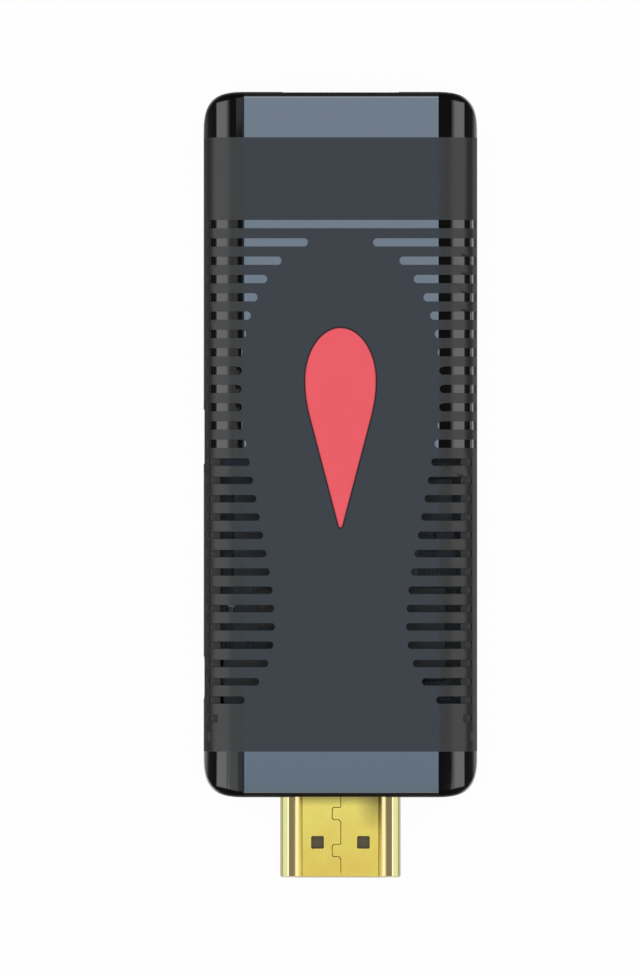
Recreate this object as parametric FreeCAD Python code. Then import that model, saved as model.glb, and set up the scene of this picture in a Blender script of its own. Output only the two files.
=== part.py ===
import FreeCAD, Part
import math
import os

Vector = FreeCAD.Vector

# The origin is the middle of the flat back face. The front looks along +Z, the socket end is
# +Y and the plug end is -Y. All sizes are in millimetres and all angles in degrees.

# Housing: two moulded covers that meet at the parting height
housing_width = 31.6
housing_length = 81.5
housing_thickness = 13.0
parting_height = 6.5
cover_wall = 1.3
side_draft = 2.2
roll_break = 6.0
corner_reach = 4.5
corner_fullness = 0.738
front_flat_width = 22.6
front_end_radius = 0.55
back_flat_width = 24.8
back_end_radius = 0.9
cover_step = 0.08

# Lip on the back cover, its rebate in the front cover, and the snap hooks between them
lip_height = 0.9
lip_thickness = 0.65
fit_gap = 0.1
core_gap = 0.04
hook_length = 3.0
hook_depth = 0.2
hook_places = (-16.0, 21.0)

# Ribs and screw bosses of the back cover that carry the circuit board
rib_thickness = 0.9
rib_seat = 1.3
left_rib_places = (-19.0, -9.0, 12.0, 25.0)
right_rib_places = (-24.0, -6.0, 20.0, 27.0)
boss_radius = 1.9
boss_floor = 2.4

# Rows of stripes across the front: polished grooves above, air vents below. Each vent runs on over
# the rolled side as a shallow tail, and one short stub lies below the last vent.
row_count = 27
row_pitch = 2.11
first_row = 25.4
polished_row_count = 13
polished_row_height = 0.95
vent_row_height = 0.85
vent_half_span = 13.85
groove_half_span = 15.2
groove_depth = 0.18
tail_lap = 0.2
stub_start = 14.15

# The waist: how far from the middle line each row starts
waist_shoulder = 11.45
waist_shoulder_place = 6.4
waist_crown = 17.6
waist_power = 2.2
waist_narrow = 7.58
waist_narrow_place = -21.0
waist_slope = 10.3
waist_flare_radius = 12.0

# Teardrop insert in the middle of the front
drop_half_width = 4.11
drop_place = 7.4
drop_crown = 6.07
drop_side_radius = 16.1
drop_taper = 14.7
drop_tip_radius = 0.25
drop_thickness = 0.6
drop_gap = 0.09
drop_pin_radius = 0.6
drop_pin_places = (9.0, -1.5)
drop_pin_reach = 0.9

# Circuit board
board_thickness = 1.2
board_height = 6.7
board_edge_gap = 0.55
board_plug_end = -36.4

# Screws that hold the board on its bosses
screw_radius = 0.8
screw_head_radius = 1.45
screw_head_height = 0.8
screw_hole_gap = 0.15
screw_length = 3.6
screw_recess_length = 1.5
screw_recess_width = 0.35
screw_recess_depth = 0.4
screw_places = ((11.0, -33.8), (-10.6, 34.2))

# Video plug, a formed metal shell with the narrow side to the front
plug_width = 13.9
plug_thickness = 4.45
plug_narrow_width = 10.0
plug_shoulder_width = 12.0
plug_ledge_height = 0.25
plug_shoulder_height = 0.65
plug_wide_radius = 0.6
plug_bend_radius = 0.3
plug_narrow_radius = 1.1
plug_sheet = 0.3
plug_reach = 9.25
plug_tail = 3.5
plug_lead_radius = 0.15
plug_hole_gap = 0.15
plug_window = 1.45
plug_window_corner = 0.13
plug_window_half_spacing = 2.65
plug_window_place = 4.07
plug_window_pocket = 0.4
plug_seam = 0.07
plug_seam_offset = 0.08
plug_tab_width = 0.99
plug_tab_length = 1.35
plug_tab_places = (3.13, 7.4)
plug_tab_corner = 0.14
plug_leg_length = 3.4
plug_leg_height = 2.6
plug_slot_width = 10.8
plug_slot_height = 1.4
plug_slot_depth = 8.0
plug_core_recess = 0.6
plug_core_tail_height = 3.4

# Contacts of the video plug, ten in the wide row and nine in the narrow row
plug_wide_row_count = 10
plug_narrow_row_count = 9
plug_contact_pitch = 1.0
plug_contact_width = 0.42
plug_contact_thickness = 0.25
plug_contact_recess = 1.5
plug_contact_tip = 0.7
plug_contact_dip = 0.22
plug_pad_length = 2.2

# Data socket at the other end
usb_width = 13.1
usb_thickness = 5.72
usb_sheet = 0.3
usb_corner_radius = 0.6
usb_depth = 14.0
usb_recess = 0.1
usb_hole_gap = 0.2
usb_core_length = 3.6
usb_tongue_width = 11.1
usb_tongue_thickness = 1.84
usb_tongue_drop = 0.66
usb_tongue_recess = 0.9
usb_contact_places = (-3.5, -1.0, 1.0, 3.5)
usb_contact_width = 1.0
usb_contact_thickness = 0.2
usb_pad_length = 1.6
usb_finger_half_spacing = 3.1
usb_finger_width = 1.6
usb_finger_length = 4.6
usb_finger_bend = 0.4
usb_finger_window = 0.4
usb_finger_place = 4.0
usb_leg_width = 1.6
usb_leg_reach = 1.3
usb_leg_places = (4.5, 10.0)

# Power port on the left side
power_place = 0.9
power_width = 7.5
power_thickness = 2.6
power_narrow_width = 5.7
power_chamfer_height = 0.9
power_corner_radius = 0.3
power_sheet = 0.25
power_depth = 5.2
power_recess = 0.55
power_hole_gap = 0.35
power_core_length = 1.2
power_tongue_width = 3.7
power_tongue_thickness = 0.6
power_tongue_drop = 0.55
power_tongue_recess = 0.6
power_contact_count = 5
power_contact_pitch = 0.65
power_contact_width = 0.36
power_contact_thickness = 0.12
power_pad_length = 0.9
power_leg_width = 1.5
power_leg_reach = 0.7

# Jack for the infrared receiver's lead, also on the left side
jack_place = -26.9
jack_height = 7.2
jack_bore_radius = 1.8
jack_bore_depth = 14.0
jack_neck_radius = 2.4
jack_hole_gap = 0.12
jack_setback = 0.1
jack_neck_length = 2.2
jack_length = 12.2
jack_width = 6.0
jack_thickness = 5.0
jack_body_radius = 0.4
jack_board_gap = 0.15
jack_wing_length = 2.6
jack_wing_reach = 0.9
jack_wing_thickness = 0.6
jack_contact_places = (3.0, 10.2)
jack_contact_width = 0.9
jack_contact_thickness = 0.22
jack_contact_reach = 1.3

# Memory card socket under the board, open to the right side
card_place = 9.0
card_socket_width = 14.2
card_socket_length = 14.5
card_socket_thickness = 1.6
card_setback = 2.2
card_sheet = 0.2
card_width = 11.1
card_space = 0.95
card_rear_wall = 1.0
card_window_length = 6.6
card_window_width = 9.2
card_slot_width = 12.0
card_slot_height = 1.5
card_contact_count = 8
card_contact_pitch = 1.1
card_contact_width = 0.6
card_contact_thickness = 0.15
card_contact_root = 2.4
card_contact_reach = 5.6
card_contact_dip = 0.75
card_pad_length = 0.8

# Reset switch, pressed through a pinhole in the right side
reset_place = -12.0
reset_setback = 2.6
reset_body_width = 4.4
reset_body_thickness = 1.8
reset_plunger_width = 1.5
reset_plunger_thickness = 0.8
reset_plunger_reach = 0.75
reset_collar_width = 2.2
reset_collar_thickness = 1.1
reset_collar_length = 0.45
reset_gap = 0.12
reset_travel = 0.25
reset_front_wall = 0.45
reset_rear_wall = 0.6
reset_dome_gap = 0.05
reset_dome_radius = 0.9
reset_dome_height = 0.28
reset_dome_thickness = 0.1
reset_cover_sheet = 0.15
reset_cover_skirt = 1.1
reset_pinhole_radius = 0.8

# Processor with its pad and finned cooler
processor_place = (0.0, 4.5)
processor_size = 14.0
processor_substrate = 0.4
processor_mould = 0.7
processor_margin = 0.6
pad_size = 13.0
pad_thickness = 0.5
sink_size = 16.0
sink_base = 0.9
sink_height = 2.5
fin_count = 7
fin_thickness = 0.8

# Other packages on the board, each place is the middle in plan
package_draft = 0.1
memory_places = ((-8.4, -10.6), (2.2, -9.6))
memory_width = 8.0
memory_length = 11.0
memory_thickness = 1.1
flash_place = (0.0, 18.2)
flash_width = 11.5
flash_length = 13.0
flash_thickness = 1.0
wifi_place = (6.8, -21.8)
wifi_board_size = 12.0
wifi_board_thickness = 0.7
wifi_notch = 0.6
wifi_notch_pitch = 1.2
wifi_notch_count = 9
wifi_shield_size = 11.0
wifi_shield_thickness = 1.5
wifi_shield_radius = 0.5
wifi_shield_sheet = 0.2
antenna_inset = 1.95
antenna_row = -30.0
antenna_width = 1.6
antenna_length = 3.2
antenna_thickness = 1.1
manager_inset = 3.35
manager_row = -6.4
manager_size = 5.0
manager_thickness = 0.85
regulator_places = ((-10.6, 8.5), (-10.6, 13.0))
regulator_width = 1.6
regulator_length = 2.9
regulator_thickness = 1.1
regulator_lead_pitch = 0.95
regulator_lead_width = 0.4
regulator_lead_reach = 0.6
regulator_lead_thickness = 0.2
inductor_gap = 1.0
inductor_rows = (3.4, 8.0, 12.6)
inductor_size = 3.6
inductor_thickness = 1.8
inductor_corner = 0.7
crystal_places = ((-11.2, 20.6), (7.7, -13.4))
crystal_width = 2.5
crystal_length = 3.2
crystal_thickness = 0.8
crystal_corner = 0.35
crystal_flange = 0.15
surge_places = ((-2.4, -31.9), (2.4, -31.9))
surge_width = 2.5
surge_length = 1.0
surge_thickness = 0.6
led_inset = 1.35
led_row = -19.2
led_width = 0.8
led_length = 1.6
led_base = 0.3
led_lens = 0.35

# Small ceramic parts in straight rows along Y, each row given by its X, its first Y and its last Y
capacitor_width = 0.8
capacitor_length = 1.6
capacitor_thickness = 0.8
capacitor_pitch = 1.7
capacitor_rows = ((8.4, 16.4, 23.2), (-8.4, 16.4, 23.2), (-8.4, -20.6, -17.2), (-1.5, -21.6, -16.5))
resistor_width = 0.5
resistor_length = 1.0
resistor_thickness = 0.35
resistor_pitch = 1.15
resistor_rows = ((11.2, 17.0, 22.75), (-11.2, 25.0, 28.45), (5.6, -31.2, -28.9))

# Heights and ends that follow from the sizes above
half_width = housing_width / 2
half_length = housing_length / 2
board_underside = board_height - board_thickness
board_middle = board_height - board_thickness / 2
board_edge = half_width - cover_wall - board_edge_gap
plug_end = -half_length - plug_reach
plug_rear = -half_length + plug_tail
usb_front = half_length - usb_recess
usb_rear = usb_front - usb_depth
usb_ceiling = board_middle + usb_thickness / 2 - usb_sheet
usb_tongue_top = usb_ceiling - usb_tongue_drop
usb_tongue_under = usb_tongue_top - usb_tongue_thickness
power_mouth = -half_width + power_recess
power_rear = power_mouth + power_depth
power_tongue_under = board_height + power_thickness - power_sheet - power_tongue_drop - power_tongue_thickness
jack_neck_face = half_width - jack_setback
jack_body_face = jack_neck_face - jack_neck_length
jack_rear = -jack_body_face + jack_length
card_socket_edge = half_width - card_setback
card_rear = card_socket_edge - card_socket_length
card_bottom = board_underside - card_socket_thickness
reset_height = board_height + reset_body_thickness / 2
reset_edge = half_width - reset_setback
reset_chamber = reset_edge - reset_front_wall
reset_rest = reset_chamber - reset_gap
reset_collar_start = reset_rest - reset_collar_length
reset_dome_foot = reset_collar_start - reset_travel - reset_dome_gap - reset_dome_height
reset_back = reset_dome_foot - reset_rear_wall
reset_body_length = reset_edge - reset_back


def box(x_low, x_high, y_low, y_high, z_low, z_high):
    corner = Vector(x_low, y_low, z_low)
    return Part.makeBox(x_high - x_low, y_high - y_low, z_high - z_low, corner)


def block(place, size_x, size_y, z_low, z_high):
    """Block centred in plan on a place."""
    x, y = place
    return box(x - size_x / 2, x + size_x / 2, y - size_y / 2, y + size_y / 2, z_low, z_high)


def rectangle(place, size_x, size_y, height):
    x, y = place
    corners = ((-1, -1), (1, -1), (1, 1), (-1, 1), (-1, -1))
    points = [Vector(x + a * size_x / 2, y + b * size_y / 2, height) for a, b in corners]
    return Part.makePolygon(points)


def package(place, size_x, size_y, z_low, z_high):
    """Moulded chip body, a little smaller at the top."""
    lower = rectangle(place, size_x, size_y, z_low)
    upper = rectangle(place, size_x - 2 * package_draft, size_y - 2 * package_draft, z_high)
    return Part.makeLoft([lower, upper], True, True)


def rounded_outline(points, radii):
    """Closed flat outline through corner points, each corner rounded by its own radius."""
    starts = []
    middles = []
    ends = []
    for index, corner in enumerate(points):
        back = points[index - 1] - corner
        ahead = points[(index + 1) % len(points)] - corner
        back = back * (1 / back.Length)
        ahead = ahead * (1 / ahead.Length)
        half_angle = back.getAngle(ahead) / 2
        reach = radii[index] / math.tan(half_angle)
        inward = back + ahead
        inward = inward * (1 / inward.Length)
        starts.append(corner + back * reach)
        middles.append(corner + inward * (radii[index] / math.sin(half_angle) - radii[index]))
        ends.append(corner + ahead * reach)
    edges = []
    for index in range(len(points)):
        edges.append(Part.Arc(starts[index], middles[index], ends[index]).toShape())
        next_start = starts[(index + 1) % len(points)]
        edges.append(Part.LineSegment(ends[index], next_start).toShape())
    return Part.Wire(edges)


def cut_corner_outline(points, cuts):
    """Closed flat outline through corner points, each corner cut off straight at its own reach."""
    ring = []
    for index, corner in enumerate(points):
        back = points[index - 1] - corner
        ahead = points[(index + 1) % len(points)] - corner
        ring.append(corner + back * (cuts[index] / back.Length))
        ring.append(corner + ahead * (cuts[index] / ahead.Length))
    return Part.makePolygon(ring + ring[:1])


def rounded_block(place, size_x, size_y, z_low, z_high, radius):
    """Block with rounded upright edges."""
    x, y = place
    corners = ((-1, -1), (1, -1), (1, 1), (-1, 1))
    points = [Vector(x + a * size_x / 2, y + b * size_y / 2, z_low) for a, b in corners]
    outline = rounded_outline(points, [radius] * len(points))
    return Part.Face(outline).extrude(Vector(0, 0, z_high - z_low))


def tube_along(outline, sheet, run):
    """Sheet metal tube: the outline and its inward offset, drawn out along a run."""
    inside = outline.makeOffset2D(-sheet)
    return Part.Face(outline).cut(Part.Face(inside)).extrude(run)


def strip(points, width_way):
    """Flat profile through the points, given the thickness of a strip by an extrusion."""
    return Part.Face(Part.makePolygon(points + points[:1])).extrude(width_way)


def mirrored(shape):
    """The same piece on the other side of the middle plane."""
    return shape.mirror(Vector(0, 0, 0), Vector(1, 0, 0))


def along_x(radius, x_low, x_high, y, z):
    """Round bar along X."""
    return Part.makeCylinder(radius, x_high - x_low, Vector(x_low, y, z), Vector(1, 0, 0))


# Outer and inner forms of the covers

def plan_outline(height, inset):
    """Plan of the housing, whose corners tighten gradually towards their middle."""
    half_x = half_width - inset
    half_y = half_length - inset
    reach = corner_reach - inset
    handle = reach * (1 - corner_fullness)
    corners = []
    for index, (side, end) in enumerate(((1, 1), (-1, 1), (-1, -1), (1, -1))):
        poles = [
            Vector(side * half_x, end * (half_y - reach), height),
            Vector(side * half_x, end * (half_y - handle), height),
            Vector(side * (half_x - handle), end * half_y, height),
            Vector(side * (half_x - reach), end * half_y, height),
        ]
        if index % 2 == 1:
            poles.reverse()
        corners.append(poles)
    edges = []
    for index, poles in enumerate(corners):
        corner = Part.BezierCurve()
        corner.setPoles(poles)
        edges.append(corner.toShape())
        next_poles = corners[(index + 1) % len(corners)]
        edges.append(Part.LineSegment(poles[-1], next_poles[0]).toShape())
    return Part.Wire(edges)


def cover_form(depth, flat_width, step, inset, end_radius):
    """Solid form of one cover, standing on the parting plane with its face upwards.

    The sides rise with the draft and roll over one arc into the flat face. The arc's radius
    is the one that meets the side with a slight break, which the end radius then softens all
    round. An inset gives the hollow inside, which has plain round corners.
    """
    draft = math.radians(side_draft)
    meeting = math.radians(side_draft + roll_break)
    side_inset = step + inset / math.cos(draft)
    below = cover_wall if inset > 0 else 0.0
    flat = flat_width / 2
    slant = math.tan(draft)
    run = half_width - step - flat - depth * slant
    roll = run / (math.cos(meeting) - slant * (1 - math.sin(meeting)))
    radius = roll - inset
    centre = depth - roll
    break_height = centre + radius * math.sin(meeting)
    middle = math.radians(45)
    foot = half_width - side_inset + below * slant

    def point(side, x, z):
        return Vector(side * x, -housing_length, z)

    flat_edge = [point(side, flat, depth - inset) for side in (-1, 1)]
    arc_middle = [
        point(side, flat + radius * math.cos(middle), centre + radius * math.sin(middle))
        for side in (-1, 1)
    ]
    arc_end = [point(side, flat + radius * math.cos(meeting), break_height) for side in (-1, 1)]
    foot_point = [point(side, foot, -below) for side in (-1, 1)]
    section = Part.Wire([
        Part.LineSegment(flat_edge[0], flat_edge[1]).toShape(),
        Part.Arc(flat_edge[1], arc_middle[1], arc_end[1]).toShape(),
        Part.LineSegment(arc_end[1], foot_point[1]).toShape(),
        Part.LineSegment(foot_point[1], foot_point[0]).toShape(),
        Part.LineSegment(foot_point[0], arc_end[0]).toShape(),
        Part.Arc(arc_end[0], arc_middle[0], flat_edge[0]).toShape(),
    ])
    rolled = Part.Face(section).extrude(Vector(0, 2 * housing_length, 0))
    if inset > 0:
        return rolled.common(round_prism(step + inset, -below, depth)).Solids[0]
    top_inset = step + depth * slant
    drafted = Part.makeLoft([plan_outline(0.0, step), plan_outline(depth, top_inset)], True, True)
    form = rolled.common(drafted).Solids[0]
    return form.makeFillet(end_radius, rim_edges(form, depth, break_height))


def rim_edges(form, depth, break_height):
    """The closed ring of edges along the side breaks and over the ends."""
    found = []
    for edge in form.Edges:
        bounds = edge.BoundBox
        high = bounds.ZMin > break_height - fit_gap / 2
        along_flat = bounds.ZMin > depth - fit_gap / 2 and bounds.YLength > half_length
        if high and not along_flat:
            found.append(edge)
    return found


def front_form(inset):
    depth = housing_thickness - parting_height
    form = cover_form(depth, front_flat_width, 0.0, inset, front_end_radius)
    return form.translated(Vector(0, 0, parting_height))


def back_form(inset):
    form = cover_form(parting_height, back_flat_width, cover_step, inset, back_end_radius)
    form = form.rotated(Vector(0, 0, 0), Vector(0, 1, 0), 180)
    return form.translated(Vector(0, 0, parting_height))


def plan_prism(inset, z_low, z_high):
    return Part.Face(plan_outline(z_low, inset)).extrude(Vector(0, 0, z_high - z_low))


def round_prism(inset, z_low, z_high):
    """The same plan with plain round corners, for what lies inside the walls."""
    size_x = housing_width - 2 * inset
    size_y = housing_length - 2 * inset
    return rounded_block((0.0, 0.0), size_x, size_y, z_low, z_high, corner_reach - inset)


# Openings that both covers share

def plug_opening():
    outline = plug_outline(-half_length - cover_wall).makeOffset2D(plug_hole_gap)
    return Part.Face(outline).extrude(Vector(0, 3 * cover_wall, 0))


def usb_opening():
    outline = usb_outline(half_length + cover_wall).makeOffset2D(usb_hole_gap)
    return Part.Face(outline).extrude(Vector(0, -3 * cover_wall, 0))


def power_opening():
    outline = power_outline(-half_width - cover_wall).makeOffset2D(power_hole_gap)
    return Part.Face(outline).extrude(Vector(3 * cover_wall, 0, 0))


def jack_opening():
    hole_radius = jack_neck_radius + jack_hole_gap
    inside = 2 * cover_wall - half_width
    return along_x(hole_radius, -half_width - cover_wall, inside, jack_place, jack_height)


def reset_opening():
    start = half_width - 2 * cover_wall
    return along_x(reset_pinhole_radius, start, half_width + cover_wall, reset_place, reset_height)


def card_opening():
    middle = card_bottom + card_sheet + card_space / 2
    low = middle - card_slot_height / 2
    high = middle + card_slot_height / 2
    side = card_slot_width / 2
    return box(
        half_width - 2 * cover_wall, half_width + cover_wall,
        card_place - side, card_place + side, low, high,
    )


def shared_openings():
    return [
        plug_opening(),
        usb_opening(),
        power_opening(),
        jack_opening(),
        reset_opening(),
        card_opening(),
    ]


# Front cover

def waist(y):
    """Distance from the middle line at which the row at y starts."""
    if y >= waist_shoulder_place:
        share = min(1.0, (y - waist_shoulder_place) / waist_crown)
        return waist_shoulder * (1 - share ** waist_power) ** (1 / waist_power)
    if y < waist_narrow_place:
        drop = waist_narrow_place - y
        return waist_narrow + waist_flare_radius - math.sqrt(waist_flare_radius ** 2 - drop ** 2)
    slope = math.radians(waist_slope)
    span = waist_shoulder_place - waist_narrow_place
    fall = waist_shoulder - waist_narrow
    bend_radius = (span * math.tan(slope) - fall) / (2 * (1 / math.cos(slope) - 1))
    bend_length = bend_radius * math.sin(slope)
    down = waist_shoulder_place - y
    if down < bend_length:
        return waist_shoulder - bend_radius + math.sqrt(bend_radius ** 2 - down ** 2)
    if span - down < bend_length:
        return waist_narrow + bend_radius - math.sqrt(bend_radius ** 2 - (span - down) ** 2)
    bend_fall = bend_radius * (1 - math.cos(slope))
    return waist_shoulder - bend_fall - (down - bend_length) * math.tan(slope)


def row_bar(y, height, start, stop):
    """Upright bar on the right side. Its inner end is a half octagon, near to round."""
    half = height / 2
    flat = half * math.tan(math.radians(22.5))
    low = parting_height + lip_height + cover_wall
    points = [
        Vector(stop, y - half, low),
        Vector(stop, y + half, low),
        Vector(start + half - flat, y + half, low),
        Vector(start, y + flat, low),
        Vector(start, y - flat, low),
        Vector(start + half - flat, y - half, low),
    ]
    return strip(points, Vector(0, 0, housing_thickness - low + cover_wall))


def row_tail(y, start):
    """Upright bar of a shallow tail on the right side."""
    half = vent_row_height / 2
    low = parting_height + lip_height + cover_wall
    return box(start, groove_half_span, y - half, y + half, low, housing_thickness + cover_wall)


def row_bars():
    """Bars of the grooves and of the vents, both sides."""
    full = box(
        -groove_half_span, groove_half_span,
        first_row - polished_row_height / 2, first_row + polished_row_height / 2,
        parting_height + lip_height + cover_wall, housing_thickness + cover_wall,
    )
    grooves = [full]
    vents = []
    for row in range(1, row_count):
        y = first_row - row * row_pitch
        start = waist(y)
        if row < polished_row_count:
            bar = row_bar(y, polished_row_height, start, groove_half_span)
            grooves += [bar, mirrored(bar)]
        else:
            bar = row_bar(y, vent_row_height, start, vent_half_span)
            vents += [bar, mirrored(bar)]
            tail = row_tail(y, vent_half_span - tail_lap)
            grooves += [tail, mirrored(tail)]
    stub = row_tail(first_row - row_count * row_pitch, stub_start)
    grooves += [stub, mirrored(stub)]
    return grooves, vents


def drop_outline(grow, height):
    """Teardrop: half an ellipse, two long side arcs, two straight flanks and a small round tip."""
    half = drop_half_width + grow
    crown = drop_crown + grow
    taper = math.radians(drop_taper)
    radius = drop_side_radius + grow
    arc_centre = drop_half_width - drop_side_radius
    side_end = Vector(arc_centre + radius * math.cos(taper), drop_place - radius * math.sin(taper), height)
    side_middle = Vector(
        arc_centre + radius * math.cos(taper / 2), drop_place - radius * math.sin(taper / 2), height
    )
    tip_radius = drop_tip_radius + grow
    line_start_x = arc_centre + drop_side_radius * math.cos(taper)
    line_start_y = drop_place - drop_side_radius * math.sin(taper)
    tip_centre = line_start_y - (line_start_x - drop_tip_radius / math.cos(taper)) / math.tan(taper)
    tip_side = Vector(tip_radius * math.cos(taper), tip_centre - tip_radius * math.sin(taper), height)
    tip = Vector(0, tip_centre - tip_radius, height)

    def other(point):
        return Vector(-point.x, point.y, point.z)

    centre = Vector(0, drop_place, height)
    ellipse = Part.Ellipse(Vector(0, drop_place + crown, height), Vector(-half, drop_place, height), centre)
    crown_edge = Part.ArcOfEllipse(ellipse, -math.pi / 2, math.pi / 2).toShape()
    wide = Vector(half, drop_place, height)
    edges = [
        crown_edge,
        Part.Arc(wide, side_middle, side_end).toShape(),
        Part.LineSegment(side_end, tip_side).toShape(),
        Part.Arc(tip_side, tip, other(tip_side)).toShape(),
        Part.LineSegment(other(tip_side), other(side_end)).toShape(),
        Part.Arc(other(side_end), other(side_middle), other(wide)).toShape(),
    ]
    return Part.Wire(Part.sortEdges(edges)[0])


def drop_solid(grow, z_low, z_high):
    return Part.Face(drop_outline(grow, z_low)).extrude(Vector(0, 0, z_high - z_low))


def drop_pins(radius, z_low, z_high):
    return [
        Part.makeCylinder(radius, z_high - z_low, Vector(0, y, z_low)) for y in drop_pin_places
    ]


def hook_profile(side, y, grow):
    """Snap hook, a ridge that points outwards from the lip."""
    root = half_width - cover_wall + lip_thickness
    peak = root + hook_depth + grow
    middle = parting_height + lip_height / 2
    rise = lip_height / 3 + grow
    start = y - hook_length / 2 - grow
    points = [
        Vector(side * (root - lip_thickness / 2), start, middle - rise),
        Vector(side * root, start, middle - rise),
        Vector(side * peak, start, middle),
        Vector(side * root, start, middle + rise),
        Vector(side * (root - lip_thickness / 2), start, middle + rise),
    ]
    return strip(points, Vector(0, hook_length + 2 * grow, 0))


def hooks(grow):
    return [hook_profile(side, y, grow) for side in (-1, 1) for y in hook_places]


def make_front_cover():
    cover = front_form(0.0).cut(front_form(cover_wall))
    rebate_inset = cover_wall - lip_thickness - fit_gap
    rebate = plan_prism(rebate_inset, parting_height, parting_height + lip_height + fit_gap)
    roof = housing_thickness - cover_wall
    pocket_floor = housing_thickness - drop_thickness
    grooves, vents = row_bars()
    sunk = Part.makeCompound(grooves).cut(front_form(groove_depth)).Solids
    cutters = [rebate, drop_solid(drop_gap, pocket_floor, housing_thickness + cover_wall)]
    cutters += drop_pins(drop_pin_radius + drop_gap, roof - fit_gap, pocket_floor + fit_gap)
    cutters += hooks(fit_gap)
    cutters += shared_openings()
    cutters += vents
    cutters += sunk
    return cover.cut(cutters)


def make_drop_insert():
    floor = housing_thickness - drop_thickness
    insert = drop_solid(0.0, floor, housing_thickness)
    return insert.fuse(drop_pins(drop_pin_radius, floor - drop_pin_reach, floor))


# Back cover

def make_back_cover():
    cover = back_form(0.0).cut(back_form(cover_wall))
    lip_top = parting_height + lip_height
    lip = plan_prism(cover_wall - lip_thickness, parting_height - lip_height, lip_top)
    lip = lip.cut(plan_prism(cover_wall, parting_height - lip_height, lip_top))
    additions = [lip] + hooks(0.0)
    outer = back_form(cover_wall / 2)
    rib_end = half_width - cover_wall - board_edge_gap - rib_seat
    for side, places in ((-1, left_rib_places), (1, right_rib_places)):
        for y in places:
            near = min(side * rib_end, side * half_width)
            far = max(side * rib_end, side * half_width)
            half = rib_thickness / 2
            rib = box(near, far, y - half, y + half, 0.0, board_underside)
            additions.append(rib.common(outer))
    for x, y in screw_places:
        boss = Part.makeCylinder(boss_radius, board_underside - cover_wall / 2, Vector(x, y, cover_wall / 2))
        additions.append(boss)
    cover = cover.fuse(additions)
    holes = []
    for x, y in screw_places:
        holes.append(Part.makeCylinder(screw_radius, board_underside, Vector(x, y, boss_floor)))
    return cover.cut(shared_openings() + holes).removeSplitter()


# Circuit board and its screws

def make_circuit_board():
    board = round_prism(cover_wall + board_edge_gap, board_underside, board_height)
    cutters = [
        box(-half_width, half_width, -half_length, board_plug_end, board_underside, board_height),
        box(
            -usb_width / 2 - usb_hole_gap, usb_width / 2 + usb_hole_gap,
            usb_rear - usb_hole_gap, half_length, board_underside, board_height,
        ),
        box(
            -half_width, jack_rear + jack_board_gap,
            jack_place - jack_width / 2 - jack_board_gap, jack_place + jack_width / 2 + jack_board_gap,
            board_underside, board_height,
        ),
    ]
    leg_outer = plug_width / 2 + plug_seam
    leg_inner = plug_width / 2 - plug_sheet - plug_seam
    for side in (-1, 1):
        cutters.append(box(
            min(side * leg_inner, side * leg_outer), max(side * leg_inner, side * leg_outer),
            board_plug_end, plug_rear + plug_leg_length + plug_seam, board_underside, board_height,
        ))
    for x, y in screw_places:
        hole_radius = screw_radius + screw_hole_gap
        cutters.append(Part.makeCylinder(hole_radius, board_thickness, Vector(x, y, board_underside)))
    return board.cut(cutters)


def make_board_screws():
    screws = []
    for x, y in screw_places:
        shank_foot = Vector(x, y, board_height - screw_length)
        shank = Part.makeCylinder(screw_radius, screw_length, shank_foot)
        head = Part.makeCylinder(screw_head_radius, screw_head_height, Vector(x, y, board_height))
        rim = [edge for edge in head.Edges if edge.BoundBox.ZMin > board_height + screw_head_height / 2]
        head = head.makeChamfer(screw_head_height / 3, rim)
        top = board_height + screw_head_height
        cross = [
            block((x, y), screw_recess_length, screw_recess_width, top - screw_recess_depth, top),
            block((x, y), screw_recess_width, screw_recess_length, top - screw_recess_depth, top),
        ]
        screws.append(shank.fuse(head).cut(cross))
    return Part.makeCompound(screws)


# Video plug

def plug_outline(y):
    """Section of the plug: a wide flat side, a ledge on each side and a narrow front side."""
    half_sections = [
        (plug_width / 2, -plug_thickness / 2, plug_wide_radius),
        (plug_width / 2, plug_ledge_height, plug_bend_radius),
        (plug_shoulder_width / 2, plug_shoulder_height, plug_bend_radius),
        (plug_narrow_width / 2, plug_thickness / 2, plug_narrow_radius),
    ]
    points = [Vector(x, y, board_middle + z) for x, z, radius in half_sections]
    points += [Vector(-x, y, board_middle + z) for x, z, radius in reversed(half_sections)]
    radii = [radius for x, z, radius in half_sections]
    return rounded_outline(points, radii + radii[::-1])


def plug_windows(z_low, z_high):
    """Square latch windows with cut corners, one each side of the middle."""
    windows = []
    y = plug_end + plug_window_place
    for side in (-1, 1):
        x = side * plug_window_half_spacing
        corners = ((-1, -1), (1, -1), (1, 1), (-1, 1))
        points = [Vector(x + a * plug_window / 2, y + b * plug_window / 2, z_low) for a, b in corners]
        outline = cut_corner_outline(points, [plug_window_corner] * 4)
        windows.append(Part.Face(outline).extrude(Vector(0, 0, z_high - z_low)))
    return windows


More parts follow.
